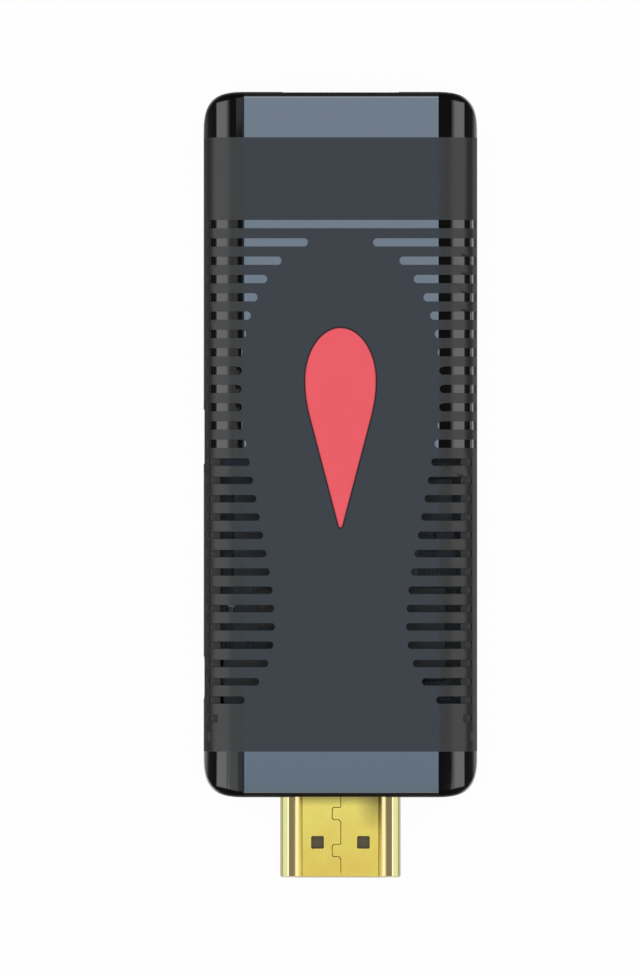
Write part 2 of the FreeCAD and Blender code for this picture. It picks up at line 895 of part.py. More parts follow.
def plug_seam_cut():
    """The joint line of the rolled shell, a thin gap with two interlocking tabs."""
    height = board_middle + plug_thickness / 4
    before = plug_end - plug_sheet
    beyond = plug_rear + plug_sheet
    tab_end = plug_seam_offset - plug_tab_width
    far = plug_seam_offset + plug_tab_width
    path = [(plug_seam_offset, beyond, 0.0)]
    for place in reversed(plug_tab_places):
        high = plug_end + place + plug_tab_length / 2
        low = plug_end + place - plug_tab_length / 2
        path.append((plug_seam_offset, high, plug_tab_corner))
        path.append((tab_end, high, plug_tab_corner))
        path.append((tab_end, low, plug_tab_corner))
        path.append((plug_seam_offset, low, 2 * plug_tab_corner))
    path.append((plug_seam_offset, before, 0.0))
    path += [(far, before, 0.0), (far, beyond, 0.0)]
    points = [Vector(x, y, height) for x, y, cut in path]
    side = cut_corner_outline(points, [max(cut, plug_seam / 10) for x, y, cut in path])
    band = Part.Face(side.makeOffset2D(plug_seam, 2)).cut(Part.Face(side))
    band = band.extrude(Vector(0, 0, plug_thickness))
    keep = box(
        tab_end - 2 * plug_seam, plug_seam_offset + plug_seam, before, beyond,
        height, height + plug_thickness,
    )
    return band.common(keep)


def make_plug_shell():
    length = plug_rear - plug_end
    shell = tube_along(plug_outline(plug_end), plug_sheet, Vector(0, length, 0))
    lead = []
    for edge in shell.Edges:
        bounds = edge.BoundBox
        at_front = bounds.YMax < plug_end + plug_seam
        low = bounds.ZMin < board_middle - plug_thickness / 2 + plug_seam
        high = bounds.ZMax > board_middle + plug_thickness / 2 - plug_seam
        wide = max(abs(bounds.XMin), abs(bounds.XMax)) > plug_width / 2 - plug_seam
        if at_front and (low or high or wide):
            lead.append(edge)
    shell = shell.makeChamfer(plug_lead_radius, lead)
    top = board_middle + plug_thickness / 2
    bottom = board_middle - plug_thickness / 2
    cutters = plug_windows(top - 2 * plug_sheet, top + plug_sheet)
    cutters += plug_windows(bottom - plug_sheet, bottom + 2 * plug_sheet)
    cutters.append(plug_seam_cut())
    legs = []
    for side in (-1, 1):
        outer = side * plug_width / 2
        inner = side * (plug_width / 2 - plug_sheet)
        low = board_middle - plug_leg_height / 2
        high = board_middle + plug_ledge_height - plug_bend_radius
        root = box(min(inner, outer), max(inner, outer), plug_rear, plug_rear + plug_leg_length, low, high)
        legs.append(root)
    return shell.cut(cutters).fuse(legs)


def plug_contact_solids():
    contacts = []
    tail_end = board_plug_end + plug_pad_length
    tip = plug_end + plug_contact_recess
    rows = ((plug_wide_row_count, -1, board_underside), (plug_narrow_row_count, 1, board_height))
    for count, way, face in rows:
        outer = face + way * plug_contact_thickness
        for index in range(count):
            x = (index - (count - 1) / 2) * plug_contact_pitch - plug_contact_width / 2
            points = [
                Vector(x, tail_end, face),
                Vector(x, tip + plug_contact_tip, face),
                Vector(x, tip, face + way * plug_contact_dip),
                Vector(x, tip, outer + way * plug_contact_dip),
                Vector(x, tip + plug_contact_tip, outer),
                Vector(x, tail_end, outer),
            ]
            contacts.append(strip(points, Vector(plug_contact_width, 0, 0)))
    return contacts


def make_plug_insulator():
    front = plug_end + plug_core_recess
    inset = plug_sheet + core_gap
    outline = plug_outline(front).makeOffset2D(-inset)
    core = Part.Face(outline).extrude(Vector(0, plug_rear - front, 0))
    half_tail = plug_width / 2 - plug_sheet - 2 * plug_seam
    tail_low = board_middle - plug_core_tail_height / 2
    shoulder = board_middle + plug_ledge_height
    tail = box(-half_tail, half_tail, plug_rear, board_plug_end, tail_low, shoulder)
    narrow = plug_narrow_width / 2
    crown = box(-narrow, narrow, plug_rear, board_plug_end, shoulder, tail_low + plug_core_tail_height)
    core = core.fuse([tail, crown])
    slot = box(
        -plug_slot_width / 2, plug_slot_width / 2, front, front + plug_slot_depth,
        board_middle - plug_slot_height / 2, board_middle + plug_slot_height / 2,
    )
    top = board_middle + plug_thickness / 2 - plug_sheet
    bottom = board_middle - plug_thickness / 2 + plug_sheet
    cutters = [slot]
    for side in (-1, 1):
        place = (side * plug_window_half_spacing, plug_end + plug_window_place)
        cutters.append(block(place, plug_window, plug_window, top - plug_window_pocket, top))
        cutters.append(block(place, plug_window, plug_window, bottom, bottom + plug_window_pocket))
    return core.cut(cutters + plug_contact_solids())


# Data socket

def usb_outline(y):
    corners = ((-1, -1), (1, -1), (1, 1), (-1, 1))
    points = [Vector(a * usb_width / 2, y, board_middle + b * usb_thickness / 2) for a, b in corners]
    return rounded_outline(points, [usb_corner_radius] * 4)


def make_usb_shell():
    shell = tube_along(usb_outline(usb_front), usb_sheet, Vector(0, -usb_depth, 0))
    root = usb_front - usb_finger_place - usb_finger_length
    windows = []
    fingers = []
    for x in (-usb_finger_half_spacing, usb_finger_half_spacing):
        left = x - usb_finger_width / 2
        for way in (-1, 1):
            outer = board_middle + way * usb_thickness / 2
            inner = outer - way * usb_sheet
            bend = way * usb_finger_bend
            tip = root + usb_finger_length
            points = [
                Vector(left, root, outer),
                Vector(left, root, inner),
                Vector(left, tip, inner - bend),
                Vector(left, tip, outer - bend),
            ]
            fingers.append(strip(points, Vector(usb_finger_width, 0, 0)))
            width = usb_finger_width + 2 * usb_finger_window
            low = min(outer, inner) - fit_gap
            high = max(outer, inner) + fit_gap
            windows.append(box(x - width / 2, x + width / 2, root, tip + usb_finger_window, low, high))
    legs = []
    for side in (-1, 1):
        for place in usb_leg_places:
            inner = side * usb_width / 2
            outer = side * (usb_width / 2 + usb_leg_reach)
            y = usb_front - place
            half = usb_leg_width / 2
            leg = box(
                min(inner, outer), max(inner, outer), y - half, y + half,
                board_height, board_height + usb_sheet,
            )
            legs.append(leg)
    return shell.cut(windows).fuse(fingers + legs)


def usb_contact_solids():
    """Each contact runs under the tongue, climbs inside the core and ends on the board."""
    contacts = []
    tip = usb_front - usb_tongue_recess - usb_sheet
    climb = usb_rear + usb_core_length / 3
    thick = usb_contact_thickness
    for x in usb_contact_places:
        left = x - usb_contact_width / 2
        right = x + usb_contact_width / 2
        blade = box(left, right, climb, tip, usb_tongue_under - thick, usb_tongue_under)
        riser = box(left, right, climb - thick, climb, usb_tongue_under - thick, board_height + thick)
        pad = box(left, right, usb_rear - usb_pad_length, climb - thick, board_height, board_height + thick)
        contacts.append(blade.fuse([riser, pad]).removeSplitter())
    return contacts


def make_usb_insulator():
    outline = usb_outline(usb_rear).makeOffset2D(-usb_sheet - core_gap)
    core = Part.Face(outline).extrude(Vector(0, usb_core_length, 0))
    tongue_tip = usb_front - usb_tongue_recess
    tongue_half = usb_tongue_width / 2
    tongue = box(
        -tongue_half, tongue_half, usb_rear + usb_core_length, tongue_tip,
        usb_tongue_under, usb_tongue_top,
    )
    nose = [
        edge for edge in tongue.Edges
        if edge.BoundBox.YMin > tongue_tip - fit_gap and edge.BoundBox.XLength > usb_tongue_width / 2
    ]
    tongue = tongue.makeChamfer(usb_tongue_thickness / 5, nose)
    return core.fuse(tongue).cut(usb_contact_solids())


# Power port

def power_outline(x):
    """Section of the port: wide at the top, with cut corners towards the board."""
    wide = power_width / 2
    narrow = power_narrow_width / 2
    top = board_height + power_thickness
    chamfer_top = board_height + power_chamfer_height
    half_section = [(narrow, board_height), (wide, chamfer_top), (wide, top)]
    points = [Vector(x, power_place + y, z) for y, z in half_section]
    points += [Vector(x, power_place - y, z) for y, z in reversed(half_section)]
    return rounded_outline(points, [power_corner_radius] * len(points))


def make_power_port_shell():
    shell = tube_along(power_outline(power_mouth), power_sheet, Vector(power_depth, 0, 0))
    legs = []
    for side in (-1, 1):
        inner = power_place + side * power_narrow_width / 2
        outer = power_place + side * (power_width / 2 + power_leg_reach)
        start = power_rear - power_leg_width - power_core_length
        low = min(inner, outer)
        high = max(inner, outer)
        legs.append(box(start, start + power_leg_width, low, high, board_height, board_height + power_sheet))
    return shell.fuse(legs).removeSplitter()


def power_contact_solids():
    contacts = []
    thick = power_contact_thickness
    tip = power_mouth + power_tongue_recess + power_sheet
    for index in range(power_contact_count):
        y = power_place + (index - (power_contact_count - 1) / 2) * power_contact_pitch
        low = y - power_contact_width / 2
        high = y + power_contact_width / 2
        blade = box(tip, power_rear + thick, low, high, power_tongue_under - thick, power_tongue_under)
        riser = box(power_rear, power_rear + thick, low, high, board_height, power_tongue_under - thick)
        pad = box(
            power_rear + thick, power_rear + power_pad_length, low, high,
            board_height, board_height + thick,
        )
        contacts.append(blade.fuse([riser, pad]).removeSplitter())
    return contacts


def make_power_port_insulator():
    inset = power_sheet + core_gap
    outline = power_outline(power_rear - power_core_length).makeOffset2D(-inset)
    core = Part.Face(outline).extrude(Vector(power_core_length, 0, 0))
    half = power_tongue_width / 2
    tongue = box(
        power_mouth + power_tongue_recess, power_rear - power_core_length,
        power_place - half, power_place + half,
        power_tongue_under, power_tongue_under + power_tongue_thickness,
    )
    return core.fuse(tongue).cut(power_contact_solids())


# Infrared jack

def jack_contact_solids():
    contacts = []
    for place in jack_contact_places:
        x = -jack_body_face + place
        for side in (-1, 1):
            inner = jack_place + side * jack_bore_radius
            outer = jack_place + side * (jack_width / 2 + jack_contact_reach)
            contacts.append(box(
                x - jack_contact_width / 2, x + jack_contact_width / 2, min(inner, outer), max(inner, outer),
                board_height, board_height + jack_contact_thickness,
            ))
    return contacts


def make_ir_jack_body():
    middle = (-jack_body_face + jack_length / 2, jack_place)
    low = jack_height - jack_thickness / 2
    high = jack_height + jack_thickness / 2
    body = rounded_block(middle, jack_length, jack_width, low, high, jack_body_radius)
    neck = along_x(jack_neck_radius, -jack_neck_face, -jack_body_face, jack_place, jack_height)
    wing_width = jack_width + 2 * jack_wing_reach
    wings = block(middle, jack_wing_length, wing_width, board_height, board_height + jack_wing_thickness)
    bore_end = -jack_neck_face + jack_bore_depth
    bore = along_x(jack_bore_radius, -jack_neck_face, bore_end, jack_place, jack_height)
    return body.fuse([neck, wings]).cut([bore] + jack_contact_solids())


# Memory card socket

def card_contact_solids():
    contacts = []
    face = board_underside
    thick = card_contact_thickness
    root = card_rear + card_contact_root
    tip = root + card_contact_reach
    bump = tip - card_contact_reach / 4
    for index in range(card_contact_count):
        y = card_place + (index - (card_contact_count - 1) / 2) * card_contact_pitch
        low = y - card_contact_width / 2
        points = [
            Vector(card_rear - card_pad_length, low, face),
            Vector(root, low, face),
            Vector(bump, low, face - card_contact_dip),
            Vector(tip, low, face - card_contact_dip / 2),
            Vector(tip, low, face - card_contact_dip / 2 - thick),
            Vector(bump, low, face - card_contact_dip - thick),
            Vector(root, low, face - thick),
            Vector(card_rear - card_pad_length, low, face - thick),
        ]
        contacts.append(strip(points, Vector(0, card_contact_width, 0)))
    return contacts


def make_card_socket_base():
    """Plastic frame: a plate against the board, two side rails and a rear wall."""
    half = card_socket_width / 2 - card_sheet
    low = card_bottom + card_sheet
    frame = box(card_rear, card_socket_edge, card_place - half, card_place + half, low, board_underside)
    space_half = card_width / 2
    ceiling = low + card_space
    space_start = card_rear + card_rear_wall
    space = box(space_start, card_socket_edge, card_place - space_half, card_place + space_half, low, ceiling)
    root = card_rear + card_contact_root
    window_half = card_window_width / 2
    window = box(
        root, root + card_window_length, card_place - window_half, card_place + window_half,
        low, board_underside,
    )
    return frame.cut([space, window] + card_contact_solids())


def make_card_socket_cover():
    """Sheet metal lid under the frame, folded up along both sides, with a thumb notch."""
    half = card_socket_width / 2
    skirt_top = board_underside
    lid = box(
        card_rear, card_socket_edge, card_place - half, card_place + half,
        card_bottom, card_bottom + card_sheet,
    )
    skirts = []
    for side in (-1, 1):
        inner = card_place + side * (half - card_sheet)
        outer = card_place + side * half
        skirts.append(box(
            card_rear, card_socket_edge, min(inner, outer), max(inner, outer), card_bottom, skirt_top
        ))
    lid = lid.fuse(skirts).removeSplitter()
    thumb_radius = card_width / 4
    thumb = Part.makeCylinder(thumb_radius, card_sheet * 2, Vector(card_socket_edge, card_place, card_bottom))
    return lid.cut(thumb)


# Reset switch

def make_reset_switch_base():
    middle = ((reset_back + reset_edge) / 2, reset_place)
    top = board_height + reset_body_thickness
    base = block(middle, reset_body_length, reset_body_width, board_height, top)
    collar_half = reset_collar_width / 2 + reset_gap
    collar_low = reset_height - reset_collar_thickness / 2 - reset_gap
    collar_high = reset_height + reset_collar_thickness / 2 + reset_gap
    chamber = box(
        reset_dome_foot, reset_chamber, reset_place - collar_half, reset_place + collar_half,
        collar_low, collar_high,
    )
    mouth_half = reset_plunger_width / 2 + reset_gap
    mouth_low = reset_height - reset_plunger_thickness / 2 - reset_gap
    mouth_high = reset_height + reset_plunger_thickness / 2 + reset_gap
    mouth = box(
        reset_chamber, reset_edge, reset_place - mouth_half, reset_place + mouth_half,
        mouth_low, mouth_high,
    )
    return base.cut([chamber, mouth])


def make_reset_dome():
    """Domed snap disc behind the plunger, standing on the rear wall of the chamber."""
    radius = (reset_dome_radius ** 2 + reset_dome_height ** 2) / (2 * reset_dome_height)
    foot = reset_dome_foot
    centre = Vector(foot + reset_dome_height - radius, reset_place, reset_height)
    ball = Part.makeSphere(radius, centre)
    hollow = Part.makeSphere(radius - reset_dome_thickness, centre)
    half = reset_collar_thickness / 2
    keep = box(
        foot, foot + radius, reset_place - reset_dome_radius, reset_place + reset_dome_radius,
        reset_height - half, reset_height + half,
    )
    return ball.cut(hollow).common(keep)


def make_reset_plunger():
    collar_half = reset_collar_width / 2
    collar_thick = reset_collar_thickness / 2
    collar = box(
        reset_collar_start, reset_rest, reset_place - collar_half, reset_place + collar_half,
        reset_height - collar_thick, reset_height + collar_thick,
    )
    end = reset_edge + reset_plunger_reach
    half = reset_plunger_width / 2
    thick = reset_plunger_thickness / 2
    stem = box(
        reset_rest, end, reset_place - half, reset_place + half,
        reset_height - thick, reset_height + thick,
    )
    rim = [edge for edge in stem.Edges if edge.BoundBox.XMin > end - reset_gap]
    stem = stem.makeChamfer(reset_gap, rim)
    return collar.fuse(stem).removeSplitter()


def make_reset_switch_cover():
    middle = ((reset_back + reset_edge) / 2, reset_place)
    top = board_height + reset_body_thickness
    sheet = reset_cover_sheet
    width = reset_body_width + 2 * sheet
    lid = block(middle, reset_body_length, width, top, top + sheet)
    skirts = []
    for side in (-1, 1):
        place = (middle[0], reset_place + side * (reset_body_width + sheet) / 2)
        skirts.append(block(place, reset_body_length / 2, sheet, top - reset_cover_skirt, top))
    return lid.fuse(skirts).removeSplitter()


# Processor, pad and cooler

def make_processor():
    step = board_height + processor_substrate
    substrate = block(processor_place, processor_size, processor_size, board_height, step)
    mould_size = processor_size - 2 * processor_margin
    mould = package(processor_place, mould_size, mould_size, step, step + processor_mould)
    return substrate.fuse(mould)


def make_thermal_pad():
    low = board_height + processor_substrate + processor_mould
    return block(processor_place, pad_size, pad_size, low, low + pad_thickness)


def make_heat_sink():
    low = board_height + processor_substrate + processor_mould + pad_thickness
    base = block(processor_place, sink_size, sink_size, low, low + sink_base)
    gap = (sink_size - fin_count * fin_thickness) / (fin_count - 1)
    channels = []
    for index in range(fin_count - 1):
        offset = -sink_size / 2 + fin_thickness + gap / 2 + index * (fin_thickness + gap)
        place = (processor_place[0] + offset, processor_place[1])
        channels.append(block(place, gap, sink_size, low + sink_base, low + sink_height))
    fins = block(processor_place, sink_size, sink_size, low + sink_base, low + sink_height)
    return base.fuse(fins.cut(channels)).removeSplitter()


# Packages and small parts

def make_memory_chips():
    top = board_height + memory_thickness
    chips = [package(place, memory_width, memory_length, board_height, top) for place in memory_places]
    return Part.makeCompound(chips)


def make_flash_chip():
    return package(flash_place, flash_width, flash_length, board_height, board_height + flash_thickness)


def make_wifi_board():
    """Module board with solder notches along two of its edges."""
    low = board_height
    high = board_height + wifi_board_thickness
    board = block(wifi_place, wifi_board_size, wifi_board_size, low, high)
    notches = []
    for side in (-1, 1):
        for index in range(wifi_notch_count):
            x = wifi_place[0] + side * wifi_board_size / 2
            y = wifi_place[1] + (index - (wifi_notch_count - 1) / 2) * wifi_notch_pitch
            notches.append(block((x, y), wifi_notch, wifi_notch, low, high))
    return board.cut(notches)


def make_wifi_shield():
    low = board_height + wifi_board_thickness
    high = low + wifi_shield_thickness
    can = rounded_block(wifi_place, wifi_shield_size, wifi_shield_size, low, high, wifi_shield_radius)
    rim = [edge for edge in can.Edges if edge.BoundBox.ZMin > high - fit_gap]
    can = can.makeChamfer(wifi_shield_radius / 2, rim)
    hollow_size = wifi_shield_size - 2 * wifi_shield_sheet
    hollow = block(wifi_place, hollow_size, hollow_size, low, high - wifi_shield_sheet)
    return can.cut(hollow)


def make_chip_antenna():
    place = (board_edge - antenna_inset, antenna_row)
    return block(place, antenna_width, antenna_length, board_height, board_height + antenna_thickness)


def make_power_manager():
    place = (board_edge - manager_inset, manager_row)
    return package(place, manager_size, manager_size, board_height, board_height + manager_thickness)


def make_voltage_regulators():
    regulators = []
    for place in regulator_places:
        top = board_height + regulator_thickness
        body = package(place, regulator_width, regulator_length, board_height + fit_gap, top)
        reach = regulator_width + 2 * regulator_lead_reach
        leads = []
        for index in (-1, 0, 1):
            lead_place = (place[0], place[1] + index * regulator_lead_pitch)
            lead_top = board_height + regulator_lead_thickness
            leads.append(block(lead_place, reach, regulator_lead_width, board_height, lead_top))
        regulators.append(body.fuse(leads))
    return Part.makeCompound(regulators)


def make_power_inductors():
    inductors = []
    top = board_height + inductor_thickness
    for row in inductor_rows:
        place = (sink_size / 2 + inductor_gap + inductor_size / 2, row)
        body = block(place, inductor_size, inductor_size, board_height, top)
        uprights = [edge for edge in body.Edges if edge.BoundBox.ZLength > inductor_thickness / 2]
        inductors.append(body.makeChamfer(inductor_corner, uprights))
    return Part.makeCompound(inductors)


def make_clock_crystals():
    crystals = []
    step = board_height + crystal_thickness / 2
    for place in crystal_places:
        base = block(place, crystal_width, crystal_length, board_height, step)
        lid_width = crystal_width - 2 * crystal_flange
        lid_length = crystal_length - 2 * crystal_flange
        lid = block(place, lid_width, lid_length, step, board_height + crystal_thickness)
        uprights = [edge for edge in lid.Edges if edge.BoundBox.ZLength > crystal_thickness / 4]
        crystals.append(base.fuse(lid.makeChamfer(crystal_corner, uprights)))
    return Part.makeCompound(crystals)


def make_surge_arrays():
    top = board_height + surge_thickness
    return Part.makeCompound([
        package(place, surge_width, surge_length, board_height, top) for place in surge_places
    ])


def make_status_led():
    base_top = board_height + led_base
    place = (led_inset - board_edge, led_row)
    base = block(place, led_width, led_length, board_height, base_top)
    lens = package(place, led_width, led_length / 2, base_top, base_top + led_lens)
    return base.fuse(lens)


def rows_of_blocks(rows, pitch, width, length, thickness):
    """Straight rows of small blocks, spaced by the pitch from the first place to the last."""
    blocks = []
    for x, first, last in rows:
        for index in range(round((last - first) / pitch) + 1):
            place = (x, first + index * pitch)
            blocks.append(block(place, length, width, board_height, board_height + thickness))
    return Part.makeCompound(blocks)


def make_capacitors():
    return rows_of_blocks(
        capacitor_rows, capacitor_pitch, capacitor_width, capacitor_length, capacitor_thickness
    )


def make_resistors():
    return rows_of_blocks(
        resistor_rows, resistor_pitch, resistor_width, resistor_length, resistor_thickness
    )


nodes = {
    "front_cover": make_front_cover(),
    "back_cover": make_back_cover(),
    "drop_insert": make_drop_insert(),
    "circuit_board": make_circuit_board(),
    "board_screws": make_board_screws(),
    "plug_shell": make_plug_shell(),
    "plug_insulator": make_plug_insulator(),
    "plug_contacts": Part.makeCompound(plug_contact_solids()),
    "usb_shell": make_usb_shell(),
    "usb_insulator": make_usb_insulator(),
    "usb_contacts": Part.makeCompound(usb_contact_solids()),
    "power_port_shell": make_power_port_shell(),
    "power_port_insulator": make_power_port_insulator(),
    "power_port_contacts": Part.makeCompound(power_contact_solids()),
    "ir_jack_body": make_ir_jack_body(),
    "ir_jack_contacts": Part.makeCompound(jack_contact_solids()),
    "card_socket_base": make_card_socket_base(),
    "card_socket_cover": make_card_socket_cover(),
    "card_socket_contacts": Part.makeCompound(card_contact_solids()),
    "reset_switch_base": make_reset_switch_base(),
    "reset_switch_cover": make_reset_switch_cover(),
    "reset_dome": make_reset_dome(),
    "reset_plunger": make_reset_plunger(),
    "processor": make_processor(),
    "thermal_pad": make_thermal_pad(),
    "heat_sink": make_heat_sink(),
    "memory_chips": make_memory_chips(),
    "flash_chip": make_flash_chip(),
    "wifi_board": make_wifi_board(),
    "wifi_shield": make_wifi_shield(),
    "chip_antenna": make_chip_antenna(),
    "power_manager": make_power_manager(),
    "voltage_regulators": make_voltage_regulators(),
    "power_inductors": make_power_inductors(),
    "clock_crystals": make_clock_crystals(),
    "surge_arrays": make_surge_arrays(),
    "capacitors": make_capacitors(),
    "resistors": make_resistors(),
    "status_led": make_status_led(),
}

os.makedirs("parts", exist_ok=True)
for name, shape in nodes.items():
    shape.exportStep("parts/" + name + ".step")
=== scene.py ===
import math

import bpy
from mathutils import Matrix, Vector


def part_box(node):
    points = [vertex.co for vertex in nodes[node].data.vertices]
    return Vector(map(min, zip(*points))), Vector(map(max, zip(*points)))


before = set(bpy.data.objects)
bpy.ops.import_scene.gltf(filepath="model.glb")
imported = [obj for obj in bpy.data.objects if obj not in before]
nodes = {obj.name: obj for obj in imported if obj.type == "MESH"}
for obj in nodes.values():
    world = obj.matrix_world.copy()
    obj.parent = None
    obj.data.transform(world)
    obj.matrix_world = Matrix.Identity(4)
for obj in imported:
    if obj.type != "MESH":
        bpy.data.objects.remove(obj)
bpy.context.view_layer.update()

# Table, sky and lamps
# The stick lies on a white table under cool soft boxes, warmer ones above the plug. The sky glows low
# on both sides, so that the rolled sides show a grey band between black, and weak boxes give the left
# side a dim second band. A wide lamp that reflections leave out fills in.

table_size = 8.0
table_white = 0.8
table_glow = 0.965
sky_dim = 0.012
sky_glow = 1.3
sky_glow_low = 0.0
sky_glow_low_fade = 0.05
sky_glow_high = 0.62
sky_glow_high_fade = 0.18
sky_glow_side = 0.55
sky_glow_side_fade = 0.14
sky_glow_at_ends = 0.15
box_height = 1.8
soft_boxes = {  # middle x and y, width, length, radiance, colour
    "face_box": (0.0, 0.1535, 0.22, 0.363, 2.1, (0.78, 0.98, 1.24)),
    "low_face_box": (0.0, -0.054, 0.22, 0.028, 1.7, (0.74, 0.99, 1.30)),
    "plug_box": (0.0, -0.285, 0.20, 0.43, 0.9, (1.0, 0.96, 0.84)),
    "plug_box_left": (-1.05, -0.285, 1.35, 0.42, 1.25, (1.0, 0.97, 0.92)),
    "plug_box_right": (1.05, -0.285, 1.35, 0.42, 1.25, (1.0, 0.97, 0.92)),
    "low_left_box": (-1.05, -0.0615, 1.2, 0.033, 0.62, (0.90, 1.0, 0.97)),
    "low_left_dim_box": (-0.285, -0.0615, 0.33, 0.033, 0.30, (0.92, 0.96, 1.02)),
    "stripe_left_box": (-1.02, 0.029, 1.04, 0.058, 0.30, (0.94, 1.0, 0.99)),
    "top_left_box": (-0.375, 0.077, 0.49, 0.020, 0.32, (0.92, 0.92, 1.08)),
    "socket_end_box": (0.0, 0.64, 0.22, 0.6, 3.5, (0.86, 0.97, 1.1)),
    "plug_end_box": (0.0, -0.80, 0.22, 0.6, 2.8, (0.86, 0.97, 1.1)),
}
wide_lamp_size = 1.6
wide_lamp_radiance = 2.75
white = (1.0, 1.0, 1.0)


class Strand:
    """One value inside a finish. Sums written with it become Math nodes."""

    def __init__(self, finish, socket):
        self.finish = finish
        self.socket = socket

    def math(self, operation, *values):
        return self.finish.add("Math", values, operation=operation)

    def __add__(self, other):
        return self.math("ADD", self, other)

    def __sub__(self, other):
        return self.math("SUBTRACT", self, other)

    def __rsub__(self, other):
        return self.math("SUBTRACT", other, self)

    def __mul__(self, other):
        return self.math("MULTIPLY", self, other)

    def __truediv__(self, other):
        return self.math("DIVIDE", self, other)

    def __pow__(self, other):
        return self.math("POWER", self, other)

    def __mod__(self, other):
        return self.math("FLOORED_MODULO", self, other)

    def __gt__(self, other):
        return self.math("GREATER_THAN", self, other)

    def __lt__(self, other):
        return self.math("LESS_THAN", self, other)

    def __or__(self, other):
        return self.math("MAXIMUM", self, other)

    def __abs__(self):
        return self.math("ABSOLUTE", self)

    __radd__ = __add__
    __rmul__ = __mul__

    def climb(self, low, high):
        """Climbs from 0 to 1 while the value climbs from low to high."""
        return self.finish.add("MapRange", [self, low, high, 0.0, 1.0])

    def also(self, name):
        """Another output of the same node."""
        return Strand(self.finish, self.socket.node.outputs[name])


class Finish:
    """A surface or a sky in the making: its shader, and one method that adds any other node."""

    def __init__(self, holder, shader="Principled BSDF", **fixed):
        self.holder = holder
        holder.use_nodes = True
        self.tree = holder.node_tree
        self.shader = self.tree.nodes[shader]
        for socket, value in fixed.items():
            self.shader.inputs[socket.replace("_", " ")].default_value = value

    def add(self, kind, values=(), output=0, **settings):
        node = self.tree.nodes.new("ShaderNode" + kind)
        for name, setting in settings.items():
            setattr(node, name, setting)
        pairs = values.items() if isinstance(values, dict) else enumerate(values)
        for socket, value in pairs:
            self.put(node.inputs[socket], value)
        return Strand(self, node.outputs[output])

    def put(self, socket, value):
        if isinstance(value, Strand):
            self.tree.links.new(value.socket, socket)
        elif isinstance(value, tuple) and socket.type == "RGBA":
            socket.default_value = (*value, 1.0)
        else:
            socket.default_value = value

    def feed(self, socket, value):
        self.put(self.shader.inputs[socket], value)

    def place(self):
        """The place on the object, in millimetres, as three numbers."""
        metres = self.add("TexCoord", output="Object")
        scaled = self.add("VectorMath", [metres, (1000.0, 1000.0, 1000.0)], operation="MULTIPLY")
        x = self.add("SeparateXYZ", [scaled])
        return x, x.also("Y"), x.also("Z")

    def facing(self):
        """How far the surface faces along each axis, from -1 to 1."""
        x = self.add("SeparateXYZ", [self.add("NewGeometry", output="Normal")])
        return x, x.also("Y"), x.also("Z")

    def noise(self, size, detail=2.0, stretch=(1.0, 1.0, 1.0)):
        """Even noise from 0 to 1, whose grains are about this many millimetres across."""
        metres = self.add("TexCoord", output="Object")
        scale = tuple(1000.0 / (size * way) for way in stretch)
        scaled = self.add("VectorMath", [metres, scale], operation="MULTIPLY")
        return self.add("TexNoise", {"Vector": scaled, "Scale": 1.0, "Detail": detail})

    def blend(self, mask, colour, other):
        """The first colour where the mask is 0, and the other where it is 1."""
        return self.add("Mix", {0: mask, 6: colour, 7: other}, output=2, data_type="RGBA")

    def relief(self, height, depth, edge=0.0):
        """Raises the surface by the height times a depth, and softens edges, in millimetres."""
        values = {"Height": height, "Distance": depth / 1000.0}
        if edge > 0.0:
            values["Normal"] = self.add("Bevel", {"Radius": edge / 1000.0}, samples=6)
        self.feed("Normal", self.add("Bump", values))


def new_finish(name, **fixed):
    return Finish(bpy.data.materials.new(name), **fixed)


def dress(finish, *names):
    for name in names:
        nodes[name].data.materials[0] = finish.holder


def overhead(name, x, y, width, length, radiance, colour):
    lamp = bpy.data.lights.new(name, "AREA")
    lamp.shape = "RECTANGLE"
    lamp.size = width
    lamp.size_y = length
    lamp.energy = radiance * math.pi * width * length
    lamp.color = colour
    holder = bpy.data.objects.new(name, lamp)
    holder.location = (x, y, box_height)
    bpy.context.scene.collection.objects.link(holder)
    return holder


bpy.ops.object.select_all(action="DESELECT")
bpy.ops.mesh.primitive_plane_add(size=table_size)
table = bpy.context.object
table.name = "table"
paper = new_finish("table_paper", Roughness=0.9)
paper.feed("Base Color", (table_white, table_white, table_white))
seen = paper.add("LightPath", output="Is Camera Ray")
shown = seen | seen.also("Is Glossy Ray") | seen.also("Is Transmission Ray")
glow = paper.add("Emission", {"Color": white})
surface = paper.add("MixShader", [shown * table_glow, Strand(paper, paper.shader.outputs[0]), glow])
paper.put(paper.tree.nodes["Material Output"].inputs["Surface"], surface)
table.data.materials.append(paper.holder)

sky = Finish(bpy.data.worlds.new("studio_sky"), "Background")
bpy.context.scene.world = sky.holder
aside = sky.add("SeparateXYZ", [sky.add("TexCoord", output="Generated")])
rise = aside.also("Z")
above_table = rise.climb(sky_glow_low, sky_glow_low + sky_glow_low_fade)
below_dark = 1 - rise.climb(sky_glow_high, sky_glow_high + sky_glow_high_fade)
to_a_side = abs(aside).climb(sky_glow_side, sky_glow_side + sky_glow_side_fade)
round_about = to_a_side * (1 - sky_glow_at_ends) + sky_glow_at_ends
lit = above_table * below_dark * round_about * (sky_glow - sky_dim) + sky_dim
seen = sky.add("LightPath", output="Is Camera Ray")
shown = seen | seen.also("Is Transmission Ray")
sky.feed("Strength", lit + (1 - lit) * shown)
sky.feed("Color", white)

for name, box in soft_boxes.items():
    overhead(name, *box)
fill = overhead("wide_lamp", 0.0, 0.0, wide_lamp_size, wide_lamp_size, wide_lamp_radiance, white)
fill.visible_glossy = False

# Camera
# It looks straight down from far off, and shows the same field as the photograph: 112.5 mm from top
# to bottom, measured halfway up the front cover.

view_height = 0.1125
view_middle = (-0.00236, -0.00496)
view_distance = 2.5
cover_low, cover_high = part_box("front_cover")
middle_height = (cover_low.z + cover_high.z) / 2

